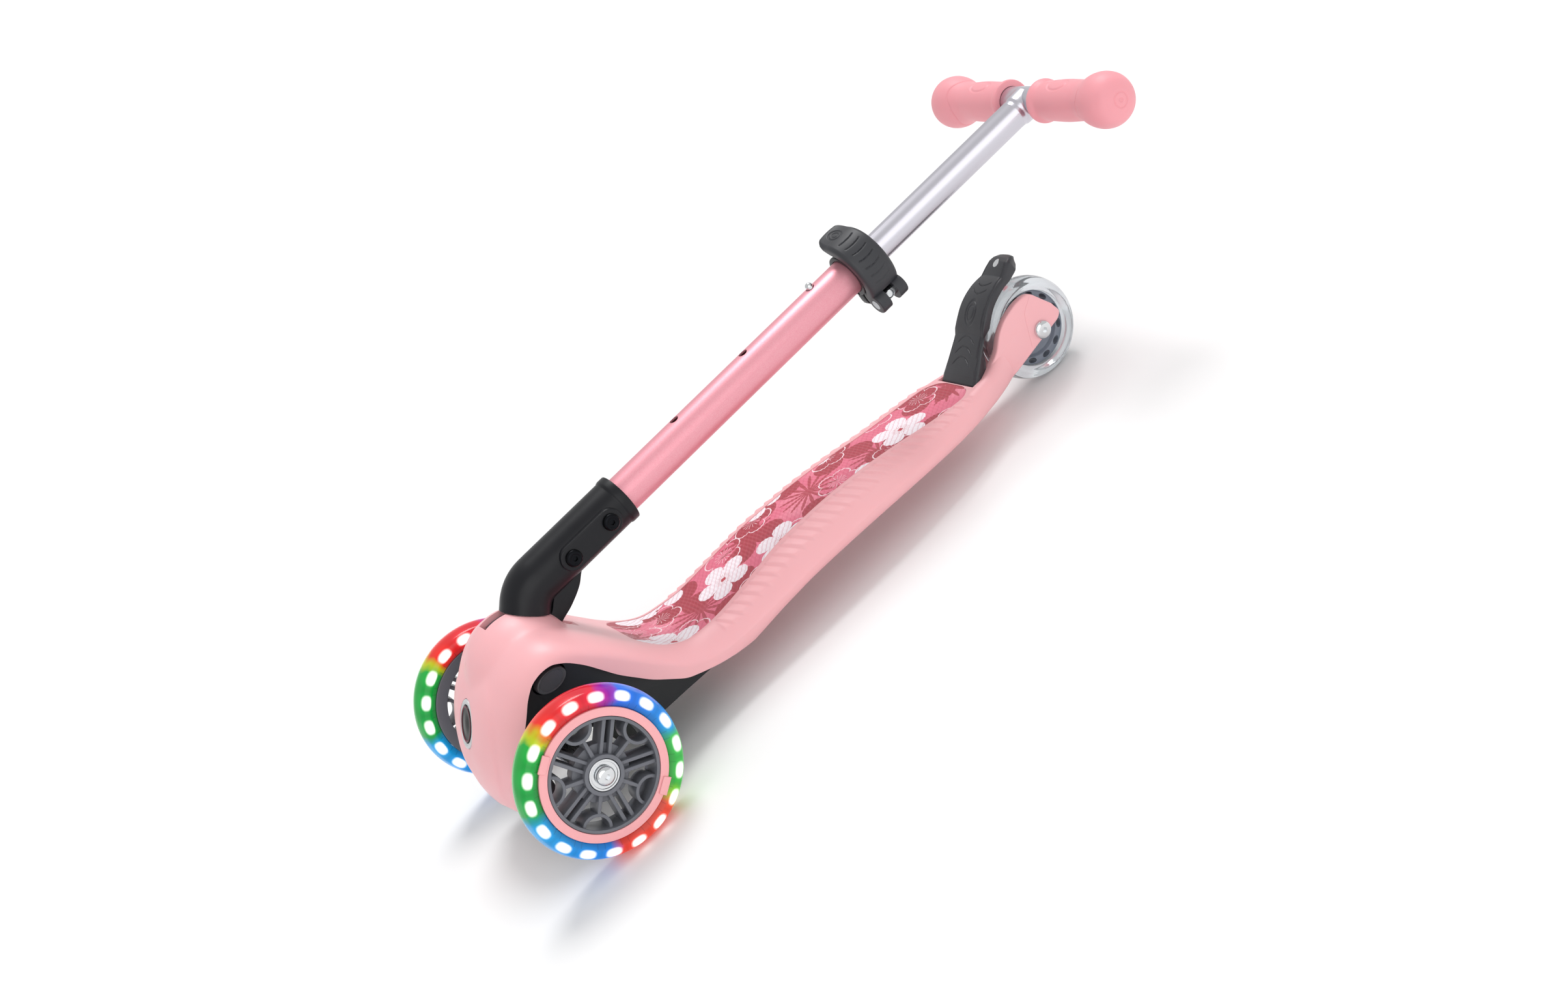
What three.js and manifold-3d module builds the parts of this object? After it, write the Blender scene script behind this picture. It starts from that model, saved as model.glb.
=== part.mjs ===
// A child's three-wheeled kick scooter, folded for carrying: the T-bar lies back over the deck.
// Millimetres, +Z up. The scooter stands on its three wheels with its nose toward -Y, and the
// rider's left is +X. The design frame has y = 0 at the front axle; the whole group is then
// moved so that the origin is at the middle of the footprint, on the floor.
import * as THREE from 'three';
import { mergeVertices } from 'three/addons/utils/BufferGeometryUtils.js';
import Module from 'manifold-3d';

// ---- Driving dimensions ----
const FRONT_RADIUS = 60;
const REAR_RADIUS = 40;
const HALF_TRACK = 104.7;
const WHEELBASE = 478;
const GAP = 0.3;

const TUBE_TILT = THREE.MathUtils.degToRad(3.2);
const SLEEVE_END = { y: 145.6, z: 153.9 };
const LOWER_TUBE_RADIUS = 14;
const LOWER_TUBE_TOP = 250;
const STEM_RADIUS = 11.1;
const TUBE_WALL = 1.3;
const TUBE_SIDES = 24;
const BAR_DISTANCE = 431;
const BAR_HALF_LENGTH = 112;
const TOP_HOLE = 204.4;
const HOLE_PITCH = 70;
const HOLE_RADIUS = 3.6;
const CLAMP_CENTRE = 244;
const CLAMP_WIDTH = 24;
const LEVER_WIDTH = 27;
const LEVER_PIVOT = { x: 18, z: -24.5 };

const FOLD = { y: 19.5, z: 110.5 };
const FOLD_TRAVEL = 78;
const DOME_RADIUS = 38.5;
const ARM_RADIUS = 18;
const ARM_BEND = 26;
const FIN_HALF = 5.6;
const SLOT_HALF = 6.2;
const FIN_LEAD = 20.5;
const SHUTTER_RADIUS = 34.4;

const KING_ANGLE = Math.PI / 4;
const AXLE_TUBE_RADIUS = 8.5;
const HOUSING_HALF = 51;

const BADGE = { y: -36.4, z: 102 };
const BADGE_RAKE = Math.atan2(0.6, 0.8);
const BRAKE_PIVOT = { y: 412, z: 38.5 };
const FORK_INNER = 13.8;
const FORK_OUTER = 21.5;
const HALF_LENGTH_CENTRE = 268.27;

// ---- Finishes ----
const PINK = { color: 0xe9aeb3, roughness: 0.42, metalness: 0 };
const PINK_METAL = { color: 0xe4949f, roughness: 0.32, metalness: 0.25 };
const BLACK = { color: 0x2b2c2e, roughness: 0.55, metalness: 0 };
const GREY = { color: 0x6f7176, roughness: 0.5, metalness: 0 };
const CHROME = { color: 0xc9ccd0, roughness: 0.16, metalness: 1 };
const STEEL = { color: 0x9a9da2, roughness: 0.3, metalness: 1 };
const SILVER = { color: 0xcfcfd2, roughness: 0.3, metalness: 1 };
const CLEAR = { color: 0xdfe6e6, roughness: 0.12, metalness: 0 };
const GLOW = { color: 0x38c46a, roughness: 0.3, metalness: 0 };
const PRINT = { color: 0xc54058, roughness: 0.6, metalness: 0 };
const RUBBER = { color: 0x1d1d1e, roughness: 0.8, metalness: 0 };
const BEZEL = { color: 0xb9bcbf, roughness: 0.4, metalness: 0 };

const wasm = await Module();
wasm.setup();

const scooter = new THREE.Group();
scooter.position.y = -HALF_LENGTH_CENTRE;

// Everything on the T-bar's line is built along a local +Y that starts at the sleeve's mouth.
const column = new THREE.Group();
column.position.set(0, SLEEVE_END.y, SLEEVE_END.z);
column.rotation.x = TUBE_TILT;
scooter.add(column);

// ---- Making solids ----
function toSolid(geometry) {
  const bare = geometry.clone();
  bare.deleteAttribute('normal');
  bare.deleteAttribute('uv');
  const merged = mergeVertices(bare, 1e-4);
  const corners = merged.index.array;
  const kept = [];
  for (let i = 0; i < corners.length; i += 3) {
    const [a, b, c] = corners.slice(i, i + 3);
    if (a !== b && b !== c && a !== c) kept.push(a, b, c);
  }
  return new wasm.Manifold(new wasm.Mesh({
    numProp: 3,
    vertProperties: new Float32Array(merged.attributes.position.array),
    triVerts: new Uint32Array(kept),
  }));
}

function toGeometry(solid) {
  const mesh = solid.getMesh();
  const geometry = new THREE.BufferGeometry();
  geometry.setAttribute('position', new THREE.BufferAttribute(new Float32Array(mesh.vertProperties), 3));
  geometry.setIndex(new THREE.BufferAttribute(new Uint32Array(mesh.triVerts), 1));
  return geometry;
}

function addPart(name, shape, finish, parent = scooter) {
  const geometry = shape.isBufferGeometry ? shape : toGeometry(shape);
  geometry.computeVertexNormals();
  const mesh = new THREE.Mesh(geometry, new THREE.MeshStandardMaterial(finish));
  mesh.name = name;
  parent.add(mesh);
  return mesh;
}

// A solid of revolution about X: the profile is a closed list of [along X, radius].
function turned(profile, sides, at = { x: 0, y: 0, z: 0 }) {
  const points = profile.map(([along, radius]) => new THREE.Vector2(radius, along));
  points.push(points[0].clone());
  const geometry = new THREE.LatheGeometry(points, sides);
  geometry.rotateZ(-Math.PI / 2);
  geometry.translate(at.x ?? 0, at.y ?? 0, at.z ?? 0);
  return outward(toSolid(geometry), geometry);
}

// A lathe whose profile runs the other way round comes out inside out, so its faces are turned.
function outward(solid, geometry) {
  if (solid.volume() > 0) return solid;
  const turnedFaces = geometry.clone();
  const corners = turnedFaces.index.array;
  for (let i = 0; i < corners.length; i += 3) {
    [corners[i], corners[i + 1]] = [corners[i + 1], corners[i]];
  }
  return toSolid(turnedFaces);
}

function disc(radius, from, to, sides, at) {
  return turned([[from, 0], [from, radius], [to, radius], [to, 0]], sides, at);
}

function ring(inner, outer, from, to, sides, at) {
  return turned([[from, inner], [from, outer], [to, outer], [to, inner]], sides, at);
}

// The same along the local +Y of the column.
function turnedY(profile, sides, at = {}) {
  const points = profile.map(([along, radius]) => new THREE.Vector2(radius, along));
  points.push(points[0].clone());
  const geometry = new THREE.LatheGeometry(points, sides);
  geometry.translate(at.x ?? 0, at.y ?? 0, at.z ?? 0);
  return outward(toSolid(geometry), geometry);
}

function pipeY(inner, outer, from, to, sides, at) {
  return turnedY([[from, inner], [from, outer], [to, outer], [to, inner]], sides, at);
}

function rodY(radius, from, to, sides, at) {
  return turnedY([[from, 0], [from, radius], [to, radius], [to, 0]], sides, at);
}

// A side outline of [y, z] points given thickness across the scooter, from x = from to x = to.
function slab(outline, from, to) {
  const shape = new THREE.Shape(outline.map(([y, z]) => new THREE.Vector2(y, z)));
  const geometry = new THREE.ExtrudeGeometry(shape, { depth: to - from, bevelEnabled: false });
  const sideways = new THREE.Matrix4().set(0, 0, 1, from, 1, 0, 0, 0, 0, 1, 0, 0, 0, 0, 0, 1);
  geometry.applyMatrix4(sideways);
  return toSolid(geometry);
}

// A shape in the X-Z plane given length along Y.
function bar(shape, from, to) {
  const settings = { depth: to - from, bevelEnabled: false, curveSegments: 7 };
  const geometry = new THREE.ExtrudeGeometry(shape, settings);
  const along = new THREE.Matrix4().set(1, 0, 0, 0, 0, 0, -1, to, 0, 1, 0, 0, 0, 0, 0, 1);
  geometry.applyMatrix4(along);
  return toSolid(geometry);
}

function block(x0, x1, y0, y1, z0, z1) {
  const geometry = new THREE.BoxGeometry(x1 - x0, y1 - y0, z1 - z0);
  geometry.translate((x0 + x1) / 2, (y0 + y1) / 2, (z0 + z1) / 2);
  return toSolid(geometry);
}

// An oval prism along local Z: half width a across X, half height b along Y.
function ovalPrism(a, b, from, to, sides = 20) {
  const shape = new THREE.Shape();
  shape.absellipse(0, 0, a, b, 0, Math.PI * 2);
  const geometry = new THREE.ExtrudeGeometry(shape, {
    depth: to - from, bevelEnabled: false, curveSegments: sides / 2,
  });
  geometry.translate(0, 0, from);
  return geometry;
}

// The triangles that close a ring, turned the same way round as the ring or the other way.
function capFaces(ringPoints, offset, reversed) {
  const flat = ringPoints.map((p) => new THREE.Vector2(p.x, p.z));
  const winding = Math.sign(THREE.ShapeUtils.area(flat)) * (reversed ? -1 : 1);
  return THREE.ShapeUtils.triangulateShape(flat, []).flatMap(([a, b, c]) => {
    const sameWay = Math.sign(THREE.ShapeUtils.area([flat[a], flat[b], flat[c]])) === winding;
    return (sameWay ? [a, b, c] : [a, c, b]).map((corner) => corner + offset);
  });
}

// Skins a row of closed rings, each a list of Vector3 with the same count, and caps both ends.
function skin(rings) {
  const count = rings[0].length;
  const positions = rings.flat().flatMap((p) => [p.x, p.y, p.z]);
  const faces = [];
  for (let i = 0; i + 1 < rings.length; i += 1) {
    for (let j = 0; j < count; j += 1) {
      const a = i * count + j;
      const b = i * count + ((j + 1) % count);
      faces.push(a, b, a + count, b, b + count, a + count);
    }
  }
  faces.push(...capFaces(rings[0], 0, true));
  faces.push(...capFaces(rings.at(-1), (rings.length - 1) * count, false));
  const geometry = new THREE.BufferGeometry();
  geometry.setAttribute('position', new THREE.Float32BufferAttribute(positions, 3));
  geometry.setIndex(faces);
  return outward(toSolid(geometry), geometry);
}

// A smooth value between design stations, each a row whose first number is y.
function between(rows, y, index) {
  const last = rows.length - 1;
  const next = rows.findIndex((row) => row[0] > y);
  const i = THREE.MathUtils.clamp(next < 0 ? last - 1 : next - 1, 0, last - 1);
  const row = (k) => rows[THREE.MathUtils.clamp(k, 0, last)];
  const [p0, p1, p2, p3] = [row(i - 1), row(i), row(i + 1), row(i + 2)];
  const span = p2[0] - p1[0];
  const t = THREE.MathUtils.clamp((y - p1[0]) / span, 0, 1);
  const m1 = ((p2[index] - p0[index]) / (p2[0] - p0[0])) * span;
  const m2 = ((p3[index] - p1[index]) / (p3[0] - p1[0])) * span;
  const t2 = t * t;
  const t3 = t2 * t;
  return (2 * t3 - 3 * t2 + 1) * p1[index] + (t3 - 2 * t2 + t) * m1
    + (-2 * t3 + 3 * t2) * p2[index] + (t3 - t2) * m2;
}

// ---- Deck body: nose shield, sloping neck, deck with side rails, and rear fork ----
// Cross-sections from nose to tail: y, top, half width of the crown, half width, height of the
// widest line, half width of the foot, bottom, and how square the shoulder is.
const [TOP, CROWN, WIDTH, CREASE, FOOT, BOTTOM, SQUARE] = [1, 2, 3, 4, 5, 6, 7];
const BODY_SECTIONS = [
  [-54, 60, 3, 12, 52, 8, 45, 2.2],
  [-51, 74, 7, 27, 56, 20, 38, 2.2],
  [-46, 86, 9, 38, 60, 28, 35, 2.2],
  [-36, 102, 10, 50, 68, 36, 34, 2.2],
  [-24, 116, 10, 57, 80, 42, 34, 2.2],
  [-12, 126, 12, 60.5, 92, 46, 34, 2.2],
  [0, 133, 14, 62, 106, 50, 34, 2.2],
  [14, 137, 16, 62.5, 116, 52, 34, 2.2],
  [28, 136, 18, 62.5, 118, 52, 34, 2.2],
  [40, 130, 22, 62, 112, 53, 34, 2.2],
  [52, 119.5, 27, 61, 100, 54, 33, 2.1],
  [64, 106, 32, 60, 87, 54, 32, 2],
  [76, 90.5, 36, 59, 73, 53, 31, 1.85],
  [88, 75.5, 39.5, 58.5, 59, 52, 29, 1.7],
  [100, 64, 41, 58, 48, 51, 27, 1.5],
  [113, 56.6, 41, 58, 42, 50, 25.6, 1.4],
  [128, 54, 40, 58, 38.5, 49, 25, 1.3],
  [148, 53.6, 37.5, 58, 37.5, 48, 25.2, 1.3],
  [180, 57, 35, 58, 38.5, 48, 28.8, 1.3],
  [210, 60.3, 32, 58, 40, 48, 31, 1.3],
  [240, 60.8, 30.5, 57.5, 40.5, 48, 31.3, 1.3],
  [270, 59.7, 29.2, 57, 40.5, 48, 31, 1.3],
  [300, 56.9, 28.2, 56, 40, 47, 30, 1.3],
  [330, 52.8, 28.2, 53.5, 38, 45, 28.5, 1.35],
  [360, 48.9, 30.5, 49.5, 36, 42, 27, 1.5],
  [385, 46.3, 31, 44, 35, 37, 25.8, 1.6],
  [402, 44.8, 28, 38, 35, 31, 24.8, 1.8],
  [415, 44.2, 24, 32.5, 35, 26, 24, 2],
  [428, 46, 20, 27, 36, 21.5, 24.3, 2],
  [440, 50, 17.5, 23, 38, 18, 26, 2],
];

function bodyRing(y) {
  const value = (index) => between(BODY_SECTIONS, y, index);
  const [top, crown, width] = [value(TOP), value(CROWN), value(WIDTH)];
  const [crease, foot, bottom, square] = [value(CREASE), value(FOOT), value(BOTTOM), value(SQUARE)];
  const half = [[0, top], [crown, top]];
  for (let i = 1; i <= 4; i += 1) {
    const turn = (i / 5) * (Math.PI / 2);
    half.push([
      crown + (width - crown) * Math.sin(turn) ** (2 / square),
      crease + (top - crease) * Math.cos(turn) ** (2 / square),
    ]);
  }
  half.push([width, crease]);
  for (let i = 1; i <= 3; i += 1) {
    const turn = (i / 3) * (Math.PI / 2);
    half.push([foot + (width - foot) * Math.cos(turn), crease - (crease - bottom) * Math.sin(turn)]);
  }
  half.push([0, bottom]);
  const mirrored = half.slice(1, -1).reverse().map(([x, z]) => [-x, z]);
  return [...half, ...mirrored].map(([x, z]) => new THREE.Vector3(x, y, z));
}

// Stations close together where the body bends, and further apart along the straight deck.
function stations(from, to, steps) {
  return Array.from({ length: steps + 1 }, (_, i) => from + ((to - from) * i) / steps);
}

// A strip that follows the deck top between two heights measured from it.
function deckStrip(from, to, inset, low, high) {
  const rows = [...stations(from, 150, 7), ...stations(175, to, 9)];
  const rings = rows.map((y) => {
    const half = between(BODY_SECTIONS, y, CROWN) - inset;
    const top = between(BODY_SECTIONS, y, TOP);
    const corner = [[-half, low], [half, low], [half, high], [-half, high]];
    return corner.map(([x, z]) => new THREE.Vector3(x, y, top + z));
  });
  return skin(rings);
}

// The side view of the hollow under the nose, where the wheels and the steering housing sit.
const ARCH = [
  [-47, 20], [-45.5, 38], [-43, 50], [-37, 66], [-27, 84], [-11, 101.2], [-2, 112], [7, 119],
  [16, 121.5], [25, 121], [34, 114.8], [43, 104], [57, 81], [74, 60], [94, 42.5],
  [104, 38.6], [116, 34.4], [130, 30.8], [146, 27.8], [160, 25], [166, 20],
];

function polar(centre, radius, degrees) {
  const turn = THREE.MathUtils.degToRad(degrees);
  return [centre.y + radius * Math.cos(turn), centre.z + radius * Math.sin(turn)];
}

// A wedge of the side view around the fold axis, from one angle to another.
function wedge(radius, fromDegrees, toDegrees, half) {
  const outline = [[FOLD.y, FOLD.z]];
  const steps = Math.ceil((toDegrees - fromDegrees) / 12);
  for (let i = 0; i <= steps; i += 1) {
    outline.push(polar(FOLD, radius, fromDegrees + ((toDegrees - fromDegrees) * i) / steps));
  }
  return slab(outline, -half, half);
}

const slotRoom = wedge(75, -8, FIN_LEAD + FOLD_TRAVEL + 2, SLOT_HALF)
  .add(disc(SHUTTER_RADIUS + 0.9, -SLOT_HALF, SLOT_HALF, 32, FOLD));

function badgePlaced(geometry) {
  geometry.rotateX(Math.PI / 2 - BADGE_RAKE);
  geometry.translate(0, BADGE.y, BADGE.z);
  return toSolid(geometry);
}

function forkArm(side) {
  const outline = [
    [416, 24.5], [430, 25.2], [445, 27.3], [470, 32.4], [495, 37.4], [499.4, 41.5], [496, 51], [485, 68.5],
    [479, 70.5], [470, 70.3], [456, 66.6], [446, 60.5], [437, 50.5], [427, 45.5], [416, 43.5],
  ];
  const inner = side > 0 ? FORK_INNER : -FORK_OUTER;
  return slab(outline, inner, inner + FORK_OUTER - FORK_INNER);
}

// The underside is hollow: two long bays on each side of a middle spine, deeper near the spine.
const SPINE_HALF = 2.5;
const BAY_OUTER = 40;
const BAYS = [[130, 254], [258, 384]];
const BAY_STEPS = [[BAY_OUTER, 13], [26, 7]];

function deckBays() {
  const bays = BAYS.flatMap(([y0, y1]) => BAY_STEPS.map(([reach, skinDepth]) => {
    const narrowing = y1 > 300 ? 7 : 0;
    const ceiling = [y1, (y0 + y1) / 2, y0].map((y) => [y, between(BODY_SECTIONS, y, TOP) - skinDepth]);
    const outline = [[y0, 10], [y1, 10], ...ceiling];
    const outer = Math.min(reach, BAY_OUTER - narrowing);
    return slab(outline, SPINE_HALF, outer).add(slab(outline, -outer, -SPINE_HALF));
  }));
  return bays.reduce((all, bay) => all.add(bay));
}

function deckBody() {
  const rows = [
    ...stations(-54, -46, 3), ...stations(-40, -12, 4), ...stations(-3, 117, 12), ...stations(130, 210, 4),
    ...stations(235, 335, 4), ...stations(360, 440, 5),
  ];
  const hull = skin(rows.map(bodyRing));
  const dome = new THREE.SphereGeometry(DOME_RADIUS, 28, 14);
  dome.translate(0, FOLD.y, FOLD.z);
  const wheelSlot = new THREE.Shape([
    new THREE.Vector2(-FORK_INNER, 430), new THREE.Vector2(FORK_INNER, 430),
    new THREE.Vector2(FORK_INNER, 510), new THREE.Vector2(-FORK_INNER, 510),
  ]);
  const brakeSeat = new THREE.Shape([
    [-25, 403.5], [25, 403.5], [23, 414], [FORK_INNER, 431], [FORK_INNER, 510], [-FORK_INNER, 510],
    [-FORK_INNER, 431], [-23, 414],
  ].map(([x, y]) => new THREE.Vector2(x, y)));
  const cutUp = (shape, from, to) => {
    const geometry = new THREE.ExtrudeGeometry(shape, { depth: to - from, bevelEnabled: false });
    geometry.translate(0, 0, from);
    return toSolid(geometry);
  };
  const rearAxle = { y: WHEELBASE, z: REAR_RADIUS };
  return hull
    .add(toSolid(dome))
    .add(forkArm(1))
    .add(forkArm(-1))
    .subtract(slab(ARCH, -70, 70))
    .subtract(slotRoom)
    .subtract(deckStrip(86, 402.8, 1.6, -1.9, 12))
    .subtract(cutUp(wheelSlot, 0, 90))
    .subtract(cutUp(brakeSeat, 30, 90))
    .subtract(deckBays())
    .subtract(disc(3.2, -28.4, 28.4, 12, BRAKE_PIVOT))
    .subtract(disc(4.3, -30, 30, 16, rearAxle))
    .subtract(badgePlaced(ovalPrism(12.8, 17.8, -6, 12)))
    .subtract(badgePlaced(ovalPrism(10.6, 14, -16, -5)));
}

addPart('deck_body', deckBody(), PINK);
addPart('deck_mat', deckStrip(86.4, 402.4, 2, -1.6, -0.1), PRINT);

// ---- Steering housing: black, fills the nose, holds the fold pin and the king bolt ----
// Turns a piece built along X so that it lies along the king bolt, centred on the front axle.
function alongKing(solid) {
  const geometry = toGeometry(solid);
  geometry.rotateZ(Math.PI / 2);
  geometry.rotateX(Math.PI - KING_ANGLE);
  geometry.translate(0, 0, FRONT_RADIUS);
  return toSolid(geometry);
}

const PUSH = { half: 12, rise: 7.2, face: 57, travel: 4 };

function pushOval(grow, from, to) {
  const geometry = ovalPrism(PUSH.rise + grow, PUSH.half + grow, from, to);
  geometry.rotateY(Math.PI / 2);
  geometry.translate(0, FOLD.y, FOLD.z - 1);
  return toSolid(geometry);
}

function steeringHousing() {
  const outline = [
    [-45, 36], [-42.4, 50], [-36.4, 66], [-26.5, 83.6], [-10.6, 100.7], [-1.6, 111.5], [7.2, 118.4],
    [16, 120.9], [24.8, 120.5], [33.6, 114.4], [42.5, 103.7], [56.5, 80.7], [73.6, 59.6], [93.7, 42.1],
    [104, 37.9], [116, 33.7], [126, 31.2], [112, 32.6], [90, 33], [60, 33], [32, 34], [28, 48],
    [22, 60], [22, 74], [16, 80], [-8, 80], [-20, 68],
    [-22, 44], [-27, 35],
  ];
  return slab(outline, -HOUSING_HALF, HOUSING_HALF)
    .subtract(slotRoom)
    .subtract(disc(4.3, -40, 40, 16, FOLD))
    .subtract(pushOval(0.4, 38, 60))
    .subtract(pushOval(0.4, -60, -38))
    .subtract(alongKing(disc(5.3, 0, 32, 16)))
    .subtract(badgePlaced(ovalPrism(10.6, 14, -16, 0)));
}

addPart('steering_housing', steeringHousing(), BLACK);
addPart('fold_pin', disc(4, -37.6, 37.6, 16, FOLD), STEEL);
addPart('king_bolt', alongKing(
  turned([[-28, 0], [-28, 6], [-24, 8], [-20.2, 8], [-20.2, 5], [31, 5], [31, 0]], 16)), STEEL);

// ---- Steering lock: a bezel let into the nose, with an oval button ----
function badgeRing() {
  return badgePlaced(ovalPrism(12.5, 17.5, -5.6, 1)).subtract(badgePlaced(ovalPrism(10.4, 13.8, -7, 3)));
}

addPart('lock_bezel', badgeRing(), BEZEL);
addPart('lock_button', badgePlaced(ovalPrism(10, 13.4, -9, 1.6)), BLACK);

for (const [side, name] of [[1, 'left'], [-1, 'right']]) {
  const face = side * PUSH.face;
  const inner = side * 42.2;
  addPart(`push_button_${name}`, pushOval(0, Math.min(face, inner), Math.max(face, inner)), BLACK);
}

// ---- Axle carrier: a cast cross tube that turns on the king bolt between two rubber cushions ----
function axleCarrier() {
  const axle = { y: 0, z: FRONT_RADIUS };
  return disc(AXLE_TUBE_RADIUS, -90, 90, 20, axle)
    .add(alongKing(disc(13, -11, 11, 20)))
    .subtract(alongKing(disc(5.4, -14, 14, 16)))
    .subtract(disc(4.3, 30, 95, 16, axle))
    .subtract(disc(4.3, -95, -30, 16, axle));
}

addPart('axle_carrier', axleCarrier(), BLACK);
addPart('steering_cushion_upper', alongKing(
  turned([[11.3, 5.5], [11.3, 11.5], [19.3, 9], [19.3, 5.5]], 16)), RUBBER);
addPart('steering_cushion_lower', alongKing(
  turned([[-19.8, 5.5], [-19.8, 9], [-11.3, 11.5], [-11.3, 5.5]], 16)), RUBBER);

// ---- Front wheels ----
// A wheel is built around its own centre with its outer face toward +X, then set to one side.
function mirrored(solid, side) {
  if (side > 0) return solid;
  const geometry = toGeometry(solid);
  geometry.rotateZ(Math.PI);
  return toSolid(geometry);
}

const WHEEL_SIDES = 32;
const SPOKE_PAIRS = 5;
const RIB_HALF_DEPTH = 6.5;
const SPOKE_START = 47;

function hubCore() {
  let core = turned([
    [-10, 37.2], [-10, 46], [6.4, 46], [6.4, 39.6], [10.4, 39.6], [10.4, 37.2],
  ], WHEEL_SIDES).add(turned([
    [-10.4, 11.3], [-10.4, 14.2], [10.4, 14.2], [10.4, 11.3], [2.6, 11.3], [2.6, 6.6], [-2.6, 6.6],
    [-2.6, 11.3],
  ], 20));
  for (let i = 0; i < SPOKE_PAIRS; i += 1) {
    const turn = THREE.MathUtils.degToRad(SPOKE_START) + (i / SPOKE_PAIRS) * Math.PI * 2;
    const opposite = turn + Math.PI / SPOKE_PAIRS;
    core = core
      .add(rib(-3.1, 13, 39, turn))
      .add(rib(3.1, 13, 39, turn))
      .add(rib(0, 13, 26.2, opposite))
      .add(loopRib(opposite));
  }
  return core;
}

// A straight spoke standing on the wheel's Y axis, then turned to its place.
function rib(shift, from, to, turn) {
  const geometry = new THREE.BoxGeometry(2 * RIB_HALF_DEPTH, to - from, 2.6);
  geometry.translate(0, (from + to) / 2, shift);
  geometry.rotateX(turn);
  return toSolid(geometry);
}

// A half loop open toward the rim, on the end of a single spoke.
function loopRib(turn) {
  const shape = new THREE.Shape();
  shape.absarc(0, 0, 9.7, Math.PI * 1.02, Math.PI * 1.98, false);
  shape.absarc(0, 0, 6.9, Math.PI * 1.98, Math.PI * 1.02, true);
  const geometry = new THREE.ExtrudeGeometry(shape, {
    depth: 2 * RIB_HALF_DEPTH - 1, bevelEnabled: false, curveSegments: 4,
  });
  geometry.rotateY(Math.PI / 2);
  geometry.translate(0.5 - RIB_HALF_DEPTH, 35.3, 0);
  geometry.rotateX(turn);
  return toSolid(geometry);
}

function snapRing() {
  let cover = ring(39.9, 45.9, 6.8, 10.6, WHEEL_SIDES);
  for (const degrees of [127, -53]) {
    const tab = new THREE.BoxGeometry(1.6, 5.2, 11);
    tab.translate(10.9, 44.2, 0);
    tab.rotateX(THREE.MathUtils.degToRad(degrees));
    cover = cover.add(toSolid(tab));
  }
  return cover;
}

function frontTyre() {
  return turned([
    [-9.5, 46.3], [-12, 51], [-9, 57.6], [0, 60], [9, 57.6], [12, 51],
    [9.5, 46.3], [5.4, 46.3], [5.4, 50.4], [-5.4, 50.4], [-5.4, 46.3],
  ], WHEEL_SIDES);
}

function frontWheel(side, name) {
  const wheel = new THREE.Group();
  wheel.position.set(side * HALF_TRACK, 0, FRONT_RADIUS);
  scooter.add(wheel);
  addPart(`tyre_${name}`, mirrored(frontTyre(), side), CLEAR, wheel);
  addPart(`led_ring_${name}`, mirrored(ring(46.4, 50, -5, 5, WHEEL_SIDES), side), GLOW, wheel);
  addPart(`snap_ring_${name}`, mirrored(snapRing(), side), PINK, wheel);
  addPart(`hub_core_${name}`, mirrored(hubCore(), side), GREY, wheel);
  addPart(`bearing_outer_${name}`, mirrored(ring(4.2, 11, 3, 10, 16), side), STEEL, wheel);
  addPart(`bearing_inner_${name}`, mirrored(ring(4.2, 11, -10, -3, 16), side), STEEL, wheel);
  const bolt = turned([[-70, 0], [-70, 3.9], [10.4, 3.9], [10.4, 7], [12.6, 6.6], [14.6, 4], [14.6, 0]], 16);
  addPart(`front_axle_bolt_${name}`, mirrored(bolt, side), CHROME, wheel);
}

frontWheel(1, 'left');
frontWheel(-1, 'right');

// ---- Rear wheel ----
const rear = new THREE.Group();
rear.position.set(0, WHEELBASE, REAR_RADIUS);
scooter.add(rear);

function rearCore() {
  let core = turned([
    [-7, 11.3], [-7, 14], [-3, 16], [-3, 21], [-6, 23], [-6, 28.7], [6, 28.7], [6, 23], [3, 21],
    [3, 16], [7, 14],
    [7, 11.3], [2.5, 11.3], [2.5, 6.6], [-2.5, 6.6], [-2.5, 11.3],
  ], 24);
  const holes = 12;
  for (let i = 0; i < holes; i += 1) {
    const hole = new THREE.CylinderGeometry(2.3, 2.3, 16, 6);
    hole.rotateZ(Math.PI / 2);
    hole.scale(1, 0.8, 1.25);
    hole.translate(0, 25.2, 0);
    hole.rotateX((i / holes) * Math.PI * 2);
    core = core.subtract(toSolid(hole));
  }
  return core;
}

addPart('rear_tyre', turned([
  [-9.5, 29], [-12, 33], [-8.5, 38.4], [0, 40], [8.5, 38.4], [12, 33], [9.5, 29],
], WHEEL_SIDES), CLEAR, rear);
addPart('rear_core', rearCore(), GREY, rear);
addPart('rear_bearing_left', ring(4.2, 11, 2.8, 9.8, 16), STEEL, rear);
addPart('rear_bearing_right', ring(4.2, 11, -9.8, -2.8, 16), STEEL, rear);
addPart('rear_axle_bolt', turned([
  [-20.6, 0], [-20.6, 3.9], [21.8, 3.9], [21.8, 7.2], [23.6, 6.8], [25.6, 4], [25.6, 0],
], 16), CHROME, rear);
addPart('rear_axle_nut', turned([
  [-25.6, 0], [-25.6, 4], [-23.6, 6.8], [-21.8, 7.2], [-21.8, 4.3], [-23, 4.3], [-23, 0],
], 16), CHROME, rear);
addPart('rear_spacer_left', ring(4.2, 6.2, 10.1, 13.5, 12), STEEL, rear);
addPart('rear_spacer_right', ring(4.2, 6.2, -13.5, -10.1, 12), STEEL, rear);

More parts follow.
